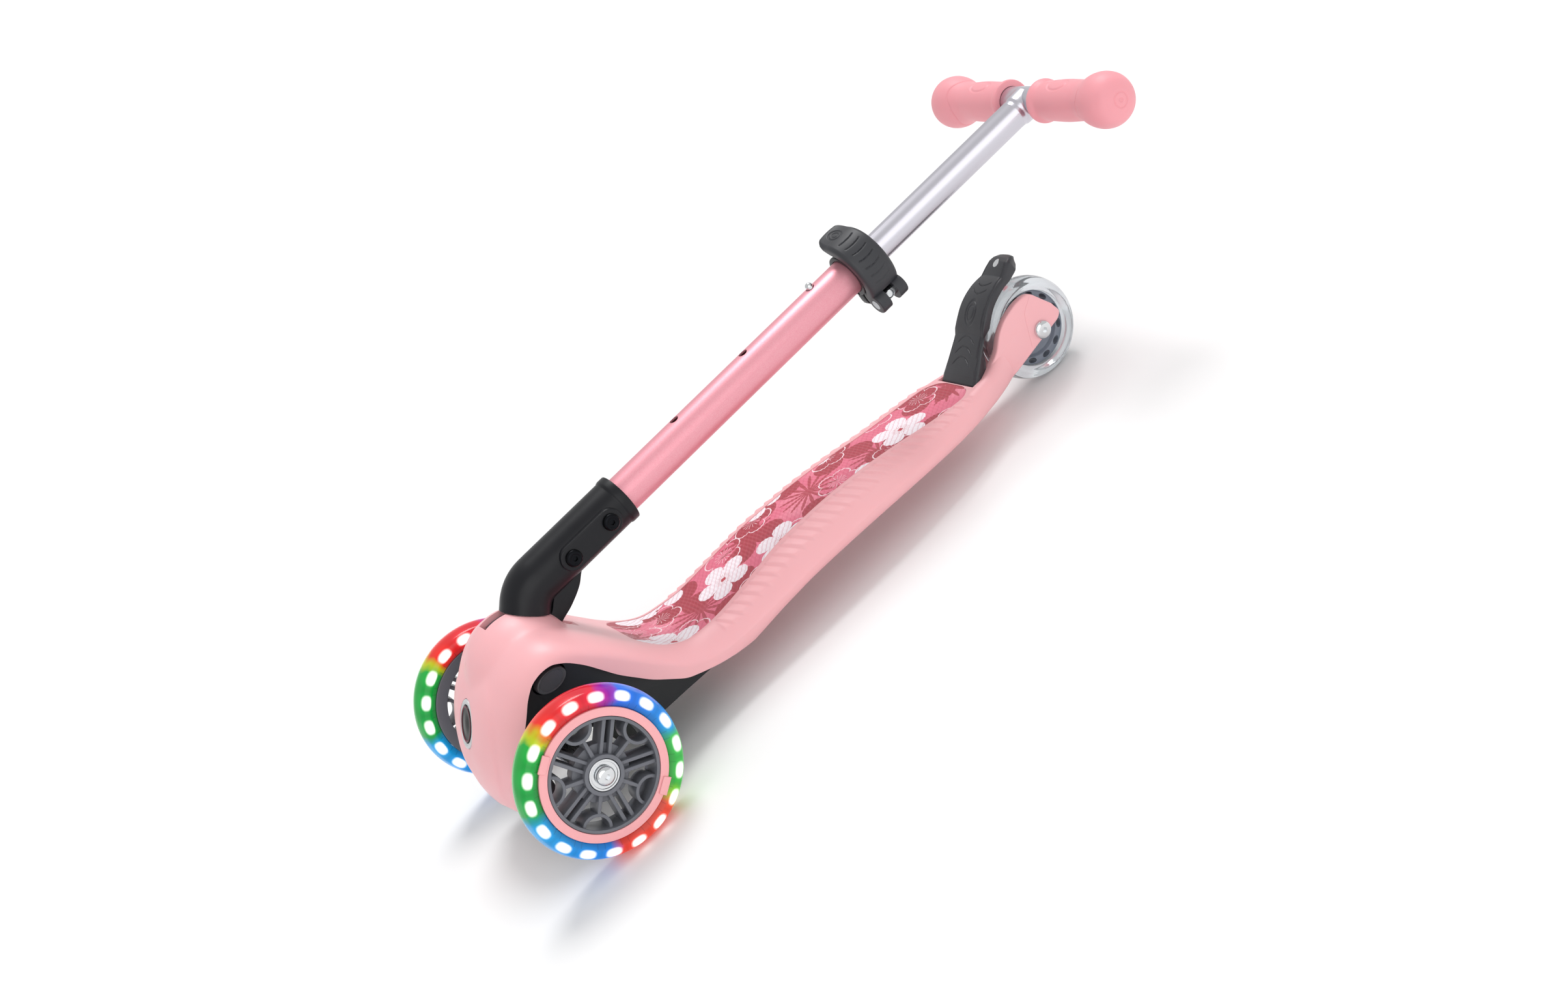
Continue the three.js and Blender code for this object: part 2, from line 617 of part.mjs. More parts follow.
// ---- Rear brake: a long lever over the wheel, hinged at the end of the deck ----
function brakeLever() {
  const hub = { y: WHEELBASE, z: REAR_RADIUS };
  const outline = [[405, 36], [404.6, 42.5], [410, 48], [418, 54.5], [427, 62]];
  const inner = [];
  for (const degrees of [147, 138, 129, 120, 111, 102, 93]) outline.push(polar(hub, 51.8, degrees));
  for (const degrees of [89, 97, 106, 115, 124, 133, 142]) inner.push(polar(hub, 43.4, degrees));
  outline.push([481, 95], [490, 98], [496, 96], [497.5, 91], [494, 87.4], [487, 84.8]);
  inner.push([433, 62.5], [430.5, 55], [428, 47], [421, 38], [416, 33.5], [410, 32.2]);
  const side = slab([...outline, ...inner], -30, 30);
  const plan = new THREE.Shape([
    [-24.4, 404], [24.4, 404], [22.4, 414.4], [18.6, 421], [15.3, 427], [16.3, 433], [15.9, 448],
    [14.4, 464], [12.2, 480], [8.8, 494], [0, 499], [-8.8, 494], [-12.2, 480],
    [-14.4, 464], [-15.9, 448], [-16.3, 433], [-15.3, 427], [-18.6, 421], [-22.4, 414.4],
  ].map(([x, y]) => new THREE.Vector2(x, y)));
  const planCut = toSolid(new THREE.ExtrudeGeometry(plan, { depth: 110, bevelEnabled: false }));
  return side.intersect(planCut)
    .subtract(disc(3.2, -30, 30, 12, BRAKE_PIVOT))
    .subtract(disc(6.5, -6, 6, 16, BRAKE_PIVOT))
    .subtract(onLeverTip(rodY(3.2, -14, 3, 12)));
}

// Puts a piece built along +Y square to the brake lever near its tip.
function onLeverTip(solid) {
  const geometry = toGeometry(solid);
  geometry.rotateX(Math.PI / 2 + 0.322);
  geometry.translate(0, 485.2, 96.4);
  return toSolid(geometry);
}

addPart('brake_lever', brakeLever(), BLACK);
addPart('brake_rivet', onLeverTip(turnedY([
  [-4, 0], [-4, 2.8], [0.4, 2.8], [0.4, 4.6], [1.6, 4.2], [2.4, 2.6], [2.4, 0],
], 16)), CHROME);
addPart('brake_pin', disc(2.8, -28, 28, 12, BRAKE_PIVOT), STEEL);

// The return spring is a few turns of wire around the brake pin.
function springCoil(radius, wire, pitch, turns) {
  const points = [];
  const steps = turns * 8;
  for (let i = 0; i <= steps; i += 1) {
    const turn = (i / 8) * Math.PI * 2;
    points.push(new THREE.Vector3((i / 8 - turns / 2) * pitch, radius * Math.cos(turn),
    radius * Math.sin(turn)));
  }
  const section = new THREE.Shape();
  section.absarc(0, 0, wire / 2, 0, Math.PI * 2);
  const geometry = new THREE.ExtrudeGeometry(section, {
    steps, bevelEnabled: false, curveSegments: 2, extrudePath: new THREE.CatmullRomCurve3(points),
  });
  geometry.translate(0, BRAKE_PIVOT.y, BRAKE_PIVOT.z);
  return toSolid(geometry);
}

addPart('brake_spring', springCoil(4.6, 1.4, 2.2, 4), STEEL);

// ---- Fold knuckle: a sleeve around the tube, an elbow, and the fin that runs in the nose slot ----
// Local positions along the column: s from the sleeve's mouth, n square to the tube, in the side view.
function columnPoint(s, n = 0) {
  return {
    y: SLEEVE_END.y + s * Math.cos(TUBE_TILT) - n * Math.sin(TUBE_TILT),
    z: SLEEVE_END.z + s * Math.sin(TUBE_TILT) + n * Math.cos(TUBE_TILT),
  };
}

const SLEEVE_BOLTS = [-21, -57];
const BEND_START = -82;
const BOSS_HALF = 20.3;

function elbow() {
  const start = columnPoint(BEND_START);
  const bend = columnPoint(BEND_START - ARM_BEND * Math.tan(THREE.MathUtils.degToRad(22.5)));
  const [endY, endZ] = polar(FOLD, 30, 48.3);
  const curve = new THREE.CurvePath();
  const [nearY, nearZ] = polar(FOLD, 39.6, 48.3);
  curve.add(new THREE.QuadraticBezierCurve3(
    new THREE.Vector3(0, start.y, start.z),
    new THREE.Vector3(0, bend.y, bend.z),
    new THREE.Vector3(0, nearY, nearZ)));
  curve.add(new THREE.LineCurve3(new THREE.Vector3(0, nearY, nearZ), new THREE.Vector3(0, endY, endZ)));
  const section = new THREE.Shape();
  section.absarc(0, 0, ARM_RADIUS, 0, Math.PI * 2);
  return toSolid(new THREE.ExtrudeGeometry(section, {
    steps: 7, bevelEnabled: false, curveSegments: 10, extrudePath: curve,
  }));
}

function finPlate() {
  const hub = disc(15, -FIN_HALF, FIN_HALF, 20, FOLD);
  const outline = [
    [FOLD.y, FOLD.z + 12], polar(FOLD, 38.5, FIN_LEAD), [62, 131], [78, 145], [96, 147], [96, 137], [90, 133],
    [84.5, 127], [78.6, 123], [69, 118], [60.3, 115.2], [50, 110.5], [38, 105.6], [FOLD.y, FOLD.z - 12],
  ];
  return hub.add(slab(outline, -FIN_HALF, FIN_HALF));
}

// Turns a piece built on the column's local axes into the design frame.
function onColumn(solid) {
  const geometry = toGeometry(solid);
  geometry.rotateX(TUBE_TILT);
  geometry.translate(0, SLEEVE_END.y, SLEEVE_END.z);
  return toSolid(geometry);
}

function sleeveBoss() {
  const [a, b] = [SLEEVE_BOLTS[1], SLEEVE_BOLTS[0]];
  const shape = new THREE.Shape();
  shape.absarc(b, 0, 9.4, -Math.PI / 2, Math.PI / 2, false);
  shape.absarc(a, 0, 9.4, Math.PI / 2, Math.PI * 1.5, false);
  const settings = { depth: 2 * BOSS_HALF, bevelEnabled: false, curveSegments: 6 };
  const geometry = new THREE.ExtrudeGeometry(shape, settings);
  geometry.applyMatrix4(new THREE.Matrix4().set(0, 0, 1, -BOSS_HALF, 1, 0, 0, 0, 0, 1, 0, 0, 0, 0, 0, 1));
  return toSolid(geometry);
}

function foldKnuckle() {
  const sleeve = rodY(ARM_RADIUS, BEND_START - 0.5, -4, 20)
    .add(rodY(ARM_RADIUS + 0.8, -7, 0, 20))
    .add(sleeveBoss());
  let room = rodY(LOWER_TUBE_RADIUS + GAP, -67, 2, TUBE_SIDES);
  for (const s of SLEEVE_BOLTS) room = room.add(disc(3.2, -30, 30, 10, { y: s, z: 0 }));
  const mouth = new THREE.SphereGeometry(DOME_RADIUS + 0.9, 20, 10);
  mouth.translate(0, FOLD.y, FOLD.z);
  return elbow()
    .subtract(toSolid(mouth))
    .add(onColumn(sleeve))
    .add(finPlate())
    .subtract(onColumn(room))
    .subtract(disc(4.3, -10, 10, 16, FOLD));
}

addPart('fold_knuckle', foldKnuckle(), BLACK);

// A curved shutter behind the fin keeps dirt out of the slot while the scooter is folded.
function slotShutter() {
  const outline = [];
  for (let i = 0; i <= 8; i += 1) outline.push(polar(FOLD, SHUTTER_RADIUS, 27.5 + (69.5 * i) / 8));
  for (let i = 8; i >= 0; i -= 1) outline.push(polar(FOLD, SHUTTER_RADIUS - 4.5, 27.5 + (69.5 * i) / 8));
  return slab(outline, -FIN_HALF, FIN_HALF);
}

addPart('slot_shutter', slotShutter(), GREY);

SLEEVE_BOLTS.forEach((s, i) => {
  const label = i === 0 ? 'upper' : 'lower';
  addPart(`sleeve_bolt_${label}`, turned([
    [-24, 0], [-24, 2.8], [20.7, 2.8], [20.7, 6.2], [22.4, 5.8], [24, 3.4], [24, 0],
  ], 16, { y: s }), BLACK, column);
  addPart(`sleeve_nut_${label}`, ring(3.5, 5.8, -24, -20.7, 6, { y: s }), STEEL, column);
});

// ---- Lower tube, with the height holes and a bush for the stem ----
function lowerTube() {
  let tube = pipeY(LOWER_TUBE_RADIUS - TUBE_WALL, LOWER_TUBE_RADIUS, -66, LOWER_TUBE_TOP, TUBE_SIDES);
  for (const s of SLEEVE_BOLTS) tube = tube.subtract(disc(3.2, -30, 30, 10, { y: s }));
  for (let i = 0; i < 3; i += 1) {
    const hole = new THREE.CylinderGeometry(HOLE_RADIUS, HOLE_RADIUS, 20, 12);
    hole.rotateX(Math.PI / 2);
    hole.translate(0, TOP_HOLE - i * HOLE_PITCH, 10);
    tube = tube.subtract(toSolid(hole));
  }
  return tube;
}

addPart('lower_tube', lowerTube(), PINK_METAL, column);
addPart('tube_bush', turnedY([
  [218, STEM_RADIUS + GAP], [218, 12.4], [250.3, 12.4], [250.3, 13.8], [252, 13.8], [252, STEM_RADIUS + GAP],
], TUBE_SIDES), BLACK, column);

// ---- Quick-release clamp ----
const CLAMP_LOW = CLAMP_CENTRE - CLAMP_WIDTH / 2;
const CLAMP_HIGH = CLAMP_CENTRE + CLAMP_WIDTH / 2;

function clampCollar() {
  return turnedY([
    [CLAMP_LOW, LOWER_TUBE_RADIUS + GAP], [CLAMP_LOW, 16.8], [CLAMP_LOW + 1, 17.6], [CLAMP_HIGH - 1, 17.6],
    [CLAMP_HIGH, 16.8], [CLAMP_HIGH, 11.6], [252.3, 11.6], [252.3, LOWER_TUBE_RADIUS + GAP],
  ], TUBE_SIDES)
    .add(block(1.2, 9, CLAMP_LOW + 1, CLAMP_HIGH - 1, -31, -14.9))
    .add(block(-9, -1.2, CLAMP_LOW + 1, CLAMP_HIGH - 1, -31, -14.9))
    .subtract(block(-1.2, 1.2, CLAMP_LOW - 1, CLAMP_HIGH + 1, -32, -10))
    .subtract(disc(3.2, -12, 12, 12, { y: CLAMP_CENTRE, z: LEVER_PIVOT.z }));
}

addPart('clamp_collar', clampCollar(), BLACK, column);
addPart('clamp_bolt', turned([
  [-13.6, 0], [-13.6, 3.8], [-12, 5.4], [-9.3, 5.4], [-9.3, 2.8], [19.6, 2.8], [19.6, 0],
], 12, { y: CLAMP_CENTRE, z: LEVER_PIVOT.z }), CHROME, column);
addPart('lever_pin', rodY(4, CLAMP_CENTRE - 13.2, CLAMP_CENTRE + 13.2, 16, LEVER_PIVOT)
  .subtract(disc(3.1, 10, 26, 12, { y: CLAMP_CENTRE, z: LEVER_PIVOT.z })), CHROME, column);

function clampLever() {
  const rad = THREE.MathUtils.degToRad;
  const shape = new THREE.Shape();
  shape.absarc(0, 0, 29, rad(-58), rad(88), false);
  shape.bezierCurveTo(-4, 29.2, -8, 30.4, -11.6, 31.4);
  shape.absarc(-10.6, 28.2, 3.4, rad(107), rad(262), false);
  shape.bezierCurveTo(-8, 24.6, -3, 22, 2.1, 20.3);
  shape.absarc(0, 0, 20.4, rad(84), rad(-34), true);
  shape.lineTo(12.5, -16.6);
  const boss = rodY(8.2, CLAMP_CENTRE - LEVER_WIDTH / 2, CLAMP_CENTRE + LEVER_WIDTH / 2, 20, LEVER_PIVOT);
  const width = LEVER_WIDTH / 2;
  return bar(shape, CLAMP_CENTRE - width, CLAMP_CENTRE + width)
    .add(boss)
    .subtract(rodY(4.3, CLAMP_CENTRE - 20, CLAMP_CENTRE + 20, 16, LEVER_PIVOT))
    .subtract(block(5, 40, CLAMP_CENTRE - 4.4, CLAMP_CENTRE + 4.4, -36, -17.5));
}

addPart('clamp_lever', clampLever(), BLACK, column);

// ---- T-bar: stem, crossbar, spring button and grips ----
function tBarStem() {
  const hole = new THREE.CylinderGeometry(HOLE_RADIUS - 0.2, HOLE_RADIUS - 0.2, 20, 12);
  hole.rotateX(Math.PI / 2);
  hole.translate(0, TOP_HOLE, 10);
  return pipeY(STEM_RADIUS - TUBE_WALL, STEM_RADIUS, 183, BAR_DISTANCE, TUBE_SIDES)
    .subtract(toSolid(hole))
    .subtract(disc(STEM_RADIUS + GAP, -20, 20, TUBE_SIDES, { y: BAR_DISTANCE }));
}

addPart('t_bar_stem', tBarStem(), SILVER, column);
addPart('crossbar', ring(STEM_RADIUS - TUBE_WALL, STEM_RADIUS, -BAR_HALF_LENGTH, BAR_HALF_LENGTH,
TUBE_SIDES, {
  y: BAR_DISTANCE,
}), SILVER, column);

function heightButton() {
  const geometry = toGeometry(turnedY([
    [6.6, 0], [6.6, 4.4], [8.6, 4.4], [8.6, 3], [15.8, 3], [17, 2.5], [17.9, 1.4], [18.2, 0],
  ], 16));
  geometry.rotateX(Math.PI / 2);
  geometry.translate(0, TOP_HOLE, 0);
  return toSolid(geometry);
}

addPart('height_button', heightButton(), CHROME, column);

// A bent steel strip that pushes the button out from inside the stem.
function buttonSpring() {
  const outline = [
    [TOP_HOLE + 4.6, 6.2], [TOP_HOLE - 5, 6.2], [TOP_HOLE - 16, 2], [TOP_HOLE - 18, -1], [TOP_HOLE - 16, -4],
    [TOP_HOLE - 4, -8], [TOP_HOLE + 4.6, -8.6], [TOP_HOLE + 4.6, -7.8], [TOP_HOLE - 4, -7.2],
    [TOP_HOLE - 15.4, -3.4], [TOP_HOLE - 17, -1], [TOP_HOLE - 15.4, 1.2], [TOP_HOLE - 5, 5.4],
    [TOP_HOLE + 4.6, 5.4],
  ];
  return slab(outline, -3, 3);
}

addPart('button_spring', buttonSpring(), STEEL, column);

function grip() {
  return turned([
    [21, STEM_RADIUS + GAP], [21, 15], [22, 16.4], [25, 16.4], [28, 14.4], [40, 15], [55, 15.6],
    [78, 14.6], [84, 16.4], [91, 19.4], [99, 20.6], [107, 19.6], [113.6, 15.8],
    [117.6, 8], [117.6, 0], [BAR_HALF_LENGTH + GAP, 0], [BAR_HALF_LENGTH + GAP, STEM_RADIUS + GAP],
  ], TUBE_SIDES);
}

for (const [side, name] of [[1, 'left'], [-1, 'right']]) {
  const holder = new THREE.Group();
  holder.position.y = BAR_DISTANCE;
  column.add(holder);
  addPart(`grip_${name}`, mirrored(grip(), side), PINK, holder);
}

export default scooter;
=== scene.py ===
import math

import bmesh
import bpy
import numpy as np
from mathutils import Matrix, Vector


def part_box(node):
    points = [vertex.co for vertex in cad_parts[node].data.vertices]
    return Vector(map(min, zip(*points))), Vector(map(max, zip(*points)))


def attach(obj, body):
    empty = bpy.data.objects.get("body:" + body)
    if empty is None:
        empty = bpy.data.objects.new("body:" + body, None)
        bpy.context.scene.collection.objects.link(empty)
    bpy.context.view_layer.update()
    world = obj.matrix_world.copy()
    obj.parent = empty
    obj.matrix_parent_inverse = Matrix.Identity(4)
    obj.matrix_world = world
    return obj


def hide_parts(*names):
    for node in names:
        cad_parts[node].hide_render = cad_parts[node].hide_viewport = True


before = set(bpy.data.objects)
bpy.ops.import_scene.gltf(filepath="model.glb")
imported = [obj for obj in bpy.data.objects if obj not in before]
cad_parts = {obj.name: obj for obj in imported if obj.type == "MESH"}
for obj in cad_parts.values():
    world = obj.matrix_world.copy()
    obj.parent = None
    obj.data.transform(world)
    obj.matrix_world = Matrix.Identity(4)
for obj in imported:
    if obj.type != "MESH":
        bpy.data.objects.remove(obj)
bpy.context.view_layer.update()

# ---------------------------------------------------------------------------------------------
# Deck body. One pink polypropylene moulding: nose shield with a ball dome for the fold, sloping
# neck, ribbed deck rails and a fork for the rear wheel. Sizes are in millimetres from the front
# axle's line and the floor, which is how the moulding is drawn.
# ---------------------------------------------------------------------------------------------
axle_low, axle_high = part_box("tyre_left")
FRONT_AXLE_Y = (axle_low.y + axle_high.y) / 2
MM = 0.001

# y, top, half width of the crown, half width, height of the widest line, foot, bottom, squareness
TOP, CROWN, WIDTH, CREASE, FOOT, BOTTOM, SQUARE = range(1, 8)
HULL = [
    (-54, 60, 3, 12, 52, 8, 45, 2.2), (-51, 74, 7, 27, 56, 20, 38, 2.2),
    (-46, 86, 9, 38, 60, 28, 35, 2.2), (-36, 102, 10, 50, 68, 36, 34, 2.2),
    (-24, 116, 10, 57, 80, 42, 34, 2.2), (-12, 126, 12, 60.5, 92, 46, 34, 2.2),
    (0, 133, 14, 62, 106, 50, 34, 2.2), (14, 137, 16, 62.5, 116, 52, 34, 2.2),
    (28, 136, 18, 62.5, 118, 52, 34, 2.2), (40, 130, 22, 62, 112, 53, 34, 2.2),
    (52, 119.5, 27, 61, 100, 54, 33, 2.1), (64, 106, 32, 60, 87, 54, 32, 2),
    (76, 90.5, 36, 59, 73, 53, 31, 1.85), (88, 75.5, 39.5, 58.5, 59, 52, 29, 1.7),
    (100, 64, 41, 58, 48, 51, 27, 1.5), (113, 56.6, 41, 58, 42, 50, 25.6, 1.4),
    (128, 54, 40, 58, 38.5, 49, 25, 1.3), (148, 53.6, 37.5, 58, 37.5, 48, 25.2, 1.3),
    (180, 57, 35, 58, 38.5, 48, 28.8, 1.3), (210, 60.3, 32, 58, 40, 48, 31, 1.3),
    (240, 60.8, 30.5, 57.5, 40.5, 48, 31.3, 1.3), (270, 59.7, 29.2, 57, 40.5, 48, 31, 1.3),
    (300, 56.9, 28.2, 56, 40, 47, 30, 1.3), (330, 52.8, 28.2, 53.5, 38, 45, 28.5, 1.35),
    (360, 48.9, 30.5, 49.5, 36, 42, 27, 1.5), (385, 46.3, 31, 44, 35, 37, 25.8, 1.6),
    (402, 44.8, 28, 38, 35, 31, 24.8, 1.8), (415, 44.2, 24, 32.5, 35, 26, 24, 2),
    (428, 46, 20, 27, 36, 21.5, 24.3, 2), (440, 50, 17.5, 23, 38, 18, 26, 2),
]
FOLD_Y, FOLD_Z = 19.5, 110.5
DOME_RADIUS = 38.5
REAR_AXLE_Y, REAR_AXLE_Z = 478, 40
BRAKE_Y, BRAKE_Z = 412, 38.5


def hull_value(y, index):
    """A smooth value between the drawn cross-sections."""
    i = max(0, min(len(HULL) - 2, next((k for k, row in enumerate(HULL) if row[0] > y), len(HULL)) - 1))
    p0, p1, p2, p3 = (HULL[max(0, min(len(HULL) - 1, k))] for k in (i - 1, i, i + 1, i + 2))
    span = p2[0] - p1[0]
    t = max(0.0, min(1.0, (y - p1[0]) / span))
    m1 = (p2[index] - p0[index]) / (p2[0] - p0[0]) * span
    m2 = (p3[index] - p1[index]) / (p3[0] - p1[0]) * span
    return ((2 * t**3 - 3 * t**2 + 1) * p1[index] + (t**3 - 2 * t**2 + t) * m1
            + (-2 * t**3 + 3 * t**2) * p2[index] + (t**3 - t**2) * m2)


def step(low, high, value):
    """0 below low, 1 above high, and smooth between."""
    t = max(0.0, min(1.0, (value - low) / (high - low)))
    return t * t * (3 - 2 * t)


def row_of(low, high, spacing):
    """Evenly spaced places from low to high, both included."""
    return list(np.linspace(low, high, max(2, round((high - low) / spacing) + 1)))


def shape_mesh(name, points, faces, sharp=35):
    """A closed, smooth-shaded object from points in drawing millimetres."""
    mesh = bpy.data.meshes.new(name)
    mesh.from_pydata([(x * MM, y * MM + FRONT_AXLE_Y, z * MM) for x, y, z in points], [], faces)
    work = bmesh.new()
    work.from_mesh(mesh)
    bmesh.ops.remove_doubles(work, verts=work.verts, dist=1e-6)
    bmesh.ops.dissolve_degenerate(work, edges=work.edges, dist=1e-7)
    bmesh.ops.recalc_face_normals(work, faces=work.faces)
    work.to_mesh(mesh)
    work.free()
    shape = bpy.data.objects.new(name, mesh)
    bpy.context.scene.collection.objects.link(shape)
    return smooth(shape, sharp)


def smooth(shape, sharp=35):
    """Smooth shading that breaks only at edges sharper than an angle."""
    shape.data.shade_smooth()
    shape.data.set_sharp_from_angle(angle=math.radians(sharp))
    return shape


def loft(rings):
    """Points and faces of a skin over rings of equal count, closed at both ends."""
    count = len(rings[0])
    points = [tuple(p) for ring in rings for p in ring]
    faces = []
    for i in range(len(rings) - 1):
        for j in range(count):
            k = (j + 1) % count
            faces.append((i * count + j, i * count + k, (i + 1) * count + k, (i + 1) * count + j))
    faces.append(tuple(range(count)))
    faces.append(tuple(range(len(points) - count, len(points))))
    return points, faces


def combine(shape, tool, operation="DIFFERENCE", sharp=35):
    """Cuts a tool out of a shape, or joins it on, and removes the tool."""
    change = shape.modifiers.new("combine", "BOOLEAN")
    change.operation, change.solver, change.object = operation, "MANIFOLD", tool
    bpy.context.view_layer.update()
    result = bpy.data.meshes.new_from_object(shape.evaluated_get(bpy.context.evaluated_depsgraph_get()))
    shape.modifiers.clear()
    shape.data = result
    bpy.data.objects.remove(tool)
    return smooth(shape, sharp)


def slab(name, outline, low, high, axis="x", bevel=0.0):
    """A flat outline given thickness: [y, z] across x, or [x, y] up z."""
    put = {"x": lambda a, b, t: (t, a, b), "z": lambda a, b, t: (a, b, t)}[axis]
    shape = shape_mesh(name, *loft([[put(a, b, t) for a, b in outline] for t in (low, high)]))
    return rounded(shape, bevel) if bevel else shape


def rounded(shape, size, segments=3, angle=35):
    """Rounds the sharp edges of a shape, in millimetres."""
    change = shape.modifiers.new("round", "BEVEL")
    change.width, change.segments = size * MM, segments
    change.limit_method, change.angle_limit = "ANGLE", math.radians(angle)
    bpy.context.view_layer.update()
    result = bpy.data.meshes.new_from_object(shape.evaluated_get(bpy.context.evaluated_depsgraph_get()))
    shape.modifiers.clear()
    shape.data = result
    return smooth(shape)


def polar(radius, degrees, y=FOLD_Y, z=FOLD_Z):
    turn = math.radians(degrees)
    return (y + radius * math.cos(turn), z + radius * math.sin(turn))


def turned(name, profile, sides=96, centre=(0, 0, 0), axis="x", sharp=35, side=1):
    """A lathe piece: a closed profile of [along the axis, radius] turned about x, y or z."""
    rings = []
    for along, radius in profile:
        ring = []
        for k in range(sides):
            turn = 2 * math.pi * k / sides
            a, b = radius * math.cos(turn), radius * math.sin(turn)
            local = {"x": (side * along, a, b), "y": (a, along, b), "z": (a, b, along)}[axis]
            ring.append(tuple(c + o for c, o in zip(centre, local)))
        rings.append(ring)
    rings.append(rings[0])
    points, faces = loft(rings)
    return shape_mesh(name, points, faces[:-2], sharp)


def eased(outline, radius, steps=4):
    """A closed outline with its corners rounded. A corner on the axis, or marked 0, stays."""
    result = []
    for i, corner in enumerate(outline):
        p = np.array(corner[:2], float)
        ease = corner[2] if len(corner) > 2 else radius
        a = np.array(outline[i - 1][:2], float) - p
        b = np.array(outline[(i + 1) % len(outline)][:2], float) - p
        reach = min(ease, 0.45 * np.linalg.norm(a), 0.45 * np.linalg.norm(b))
        if reach < 1e-3:
            result.append(tuple(p))
            continue
        start, end = p + a / np.linalg.norm(a) * reach, p + b / np.linalg.norm(b) * reach
        for k in range(steps + 1):
            t = k / steps
            result.append(tuple((1 - t) ** 2 * start + 2 * t * (1 - t) * p + t * t * end))
    return result


RIB_PITCH = 9.5      # the saw-tooth grip ribs on the rails
RIB_HEIGHT = 1.4
RIB_SKEW = 0.8       # how far a rib runs back for each millimetre outward


def rib_height(x, y, across):
    """How far the grip ribs stand out of a rail at a place across it."""
    phase = ((y - RIB_SKEW * abs(x)) / RIB_PITCH) % 1.0
    tooth = phase / 0.12 if phase < 0.12 else (1 - phase) / 0.88
    window = step(0.08, 0.14, across) * (1 - step(0.6, 0.66, across))
    return RIB_HEIGHT * tooth * window * step(136, 139, y) * (1 - step(394, 397, y))


def nose_panel(x, y, z):
    """The nose carries a shallow raised oval around the steering lock."""
    up = 0.6 * (y + 36.4) + 0.8 * (z - 102)
    reach = math.hypot(x / 40, (up + 6) / 57)
    return 1.5 * (1 - step(0.94, 1.02, reach)) * (1 - step(22, 40, up)) if y < 14 else 0.0


def hull_ring(y):
    top, crown, width, crease, foot, bottom, square = (hull_value(y, k) for k in range(1, 8))
    half = [(crown * f, top, 0.0, 1.0, 0.0) for f in (0, 0.25, 0.5, 0.75, 1)]
    for i in range(1, 27):
        turn = i / 27 * math.pi / 2
        across = math.sin(turn) ** (2 / square)
        half.append((crown + (width - crown) * across,
                     crease + (top - crease) * math.cos(turn) ** (2 / square),
                     math.sin(turn), math.cos(turn), across))
    for i in range(0, 13):
        turn = i / 12 * math.pi / 2
        half.append((foot + (width - foot) * math.cos(turn), crease - (crease - bottom) * math.sin(turn),
                     math.cos(turn), -math.sin(turn), 0.0))
    half += [(foot * f, bottom, 0.0, -1.0, 0.0) for f in (0.66, 0.33, 0)]
    ring = []
    for x, z, out, rise, across in half:
        lift = rib_height(x, y, across)
        reach = DOME_RADIUS**2 - x * x - (y - FOLD_Y) ** 2
        if reach > 0 and rise > 0:      # the dome grows out of the nose with a soft fillet
            dome = FOLD_Z + math.sqrt(reach)
            z = (z + dome + math.sqrt((z - dome) ** 2 + 9)) / 2 if dome > z - 12 else z
        ring.append((x + out * lift * 0.5, y, z + rise * lift))
    return ring + [(-x, yy, z) for x, yy, z in reversed(ring[1:-1])]


def nose_lift(points):
    """Lifts the oval panel straight out of the nose."""
    lifted = []
    for x, y, z in points:
        lift = nose_panel(x, y, z)
        lifted.append((x, y - 0.8 * lift, z + 0.6 * lift))
    return lifted


rows = (row_of(-54, -40, 0.7) + row_of(-39, -10, 1.2) + row_of(-8.5, 66, 1.7) + row_of(67, 132, 1.7)
        + row_of(133, 398, 0.8) + row_of(400, 440, 2))
hull_points, hull_faces = loft([hull_ring(y) for y in rows])
deck = shape_mesh("deck_moulding", nose_lift(hull_points), hull_faces)

FORK_INNER, FORK_OUTER = 13.8, 21.5
FORK_OUTLINE = eased(
    [
        (416, 24.5), (430, 25.2), (445, 27.3), (470, 32.4), (495, 37.4, 4), (499.4, 41.5, 3),
        (496, 51, 4), (485, 68.5, 3), (479, 70.5, 4), (470, 70.3, 4), (456, 66.6, 6), (446, 60.5, 6),
        (437, 50.5, 6), (427, 45.5, 6), (416, 43.5)],
    2)
# Each arm has a thicker pad around the axle bolt, and its end is cut square.
END_PAD = eased([(463, 33), (496, 39.5, 3), (496.6, 50, 3), (484, 68, 2), (472, 60, 5)], 3)
for side in (1, -1):
    inner, outer = sorted((side * FORK_INNER, side * FORK_OUTER))
    combine(deck, slab("fork_arm", FORK_OUTLINE, inner, outer, bevel=1.6), "UNION")
    low, high = sorted((side * (FORK_OUTER - 2), side * (FORK_OUTER + 0.28)))
    combine(deck, slab("end_pad", END_PAD, low, high, bevel=0.26), "UNION")
# The nose is hollow for the steering housing, and the deck end is open for the wheel and brake.
ARCH = [
    (-47, 20), (-45.5, 38), (-43, 50), (-37, 66), (-27, 84), (-11, 101.2), (-2, 112), (7, 119), (16, 121.5),
    (25, 121), (34, 114.8), (43, 104), (57, 81), (74, 60), (94, 42.5), (104, 38.6), (116, 34.4), (130, 30.8),
    (146, 27.8), (160, 25), (166, 20),
]
combine(deck, slab("arch_room", eased(ARCH, 6), -70, 70))
SLOT_HALF, SLOT_FRONT, SLOT_REAR, SHUTTER_RADIUS = 6.2, 100.5, -8, 34.4
slot_outline = ([(FOLD_Y, FOLD_Z)]
    + [polar(75, SLOT_REAR + (SLOT_FRONT - SLOT_REAR) * k / 30) for k in range(31)])
combine(deck, slab("slot_room", slot_outline, -SLOT_HALF, SLOT_HALF))
shutter_room = turned(
    "shutter_room",
    [
        (-SLOT_HALF, 0), (-SLOT_HALF, SHUTTER_RADIUS + 0.9), (SLOT_HALF, SHUTTER_RADIUS + 0.9),
        (SLOT_HALF, 0)],
    64, (0, FOLD_Y, FOLD_Z))
combine(deck, shutter_room)


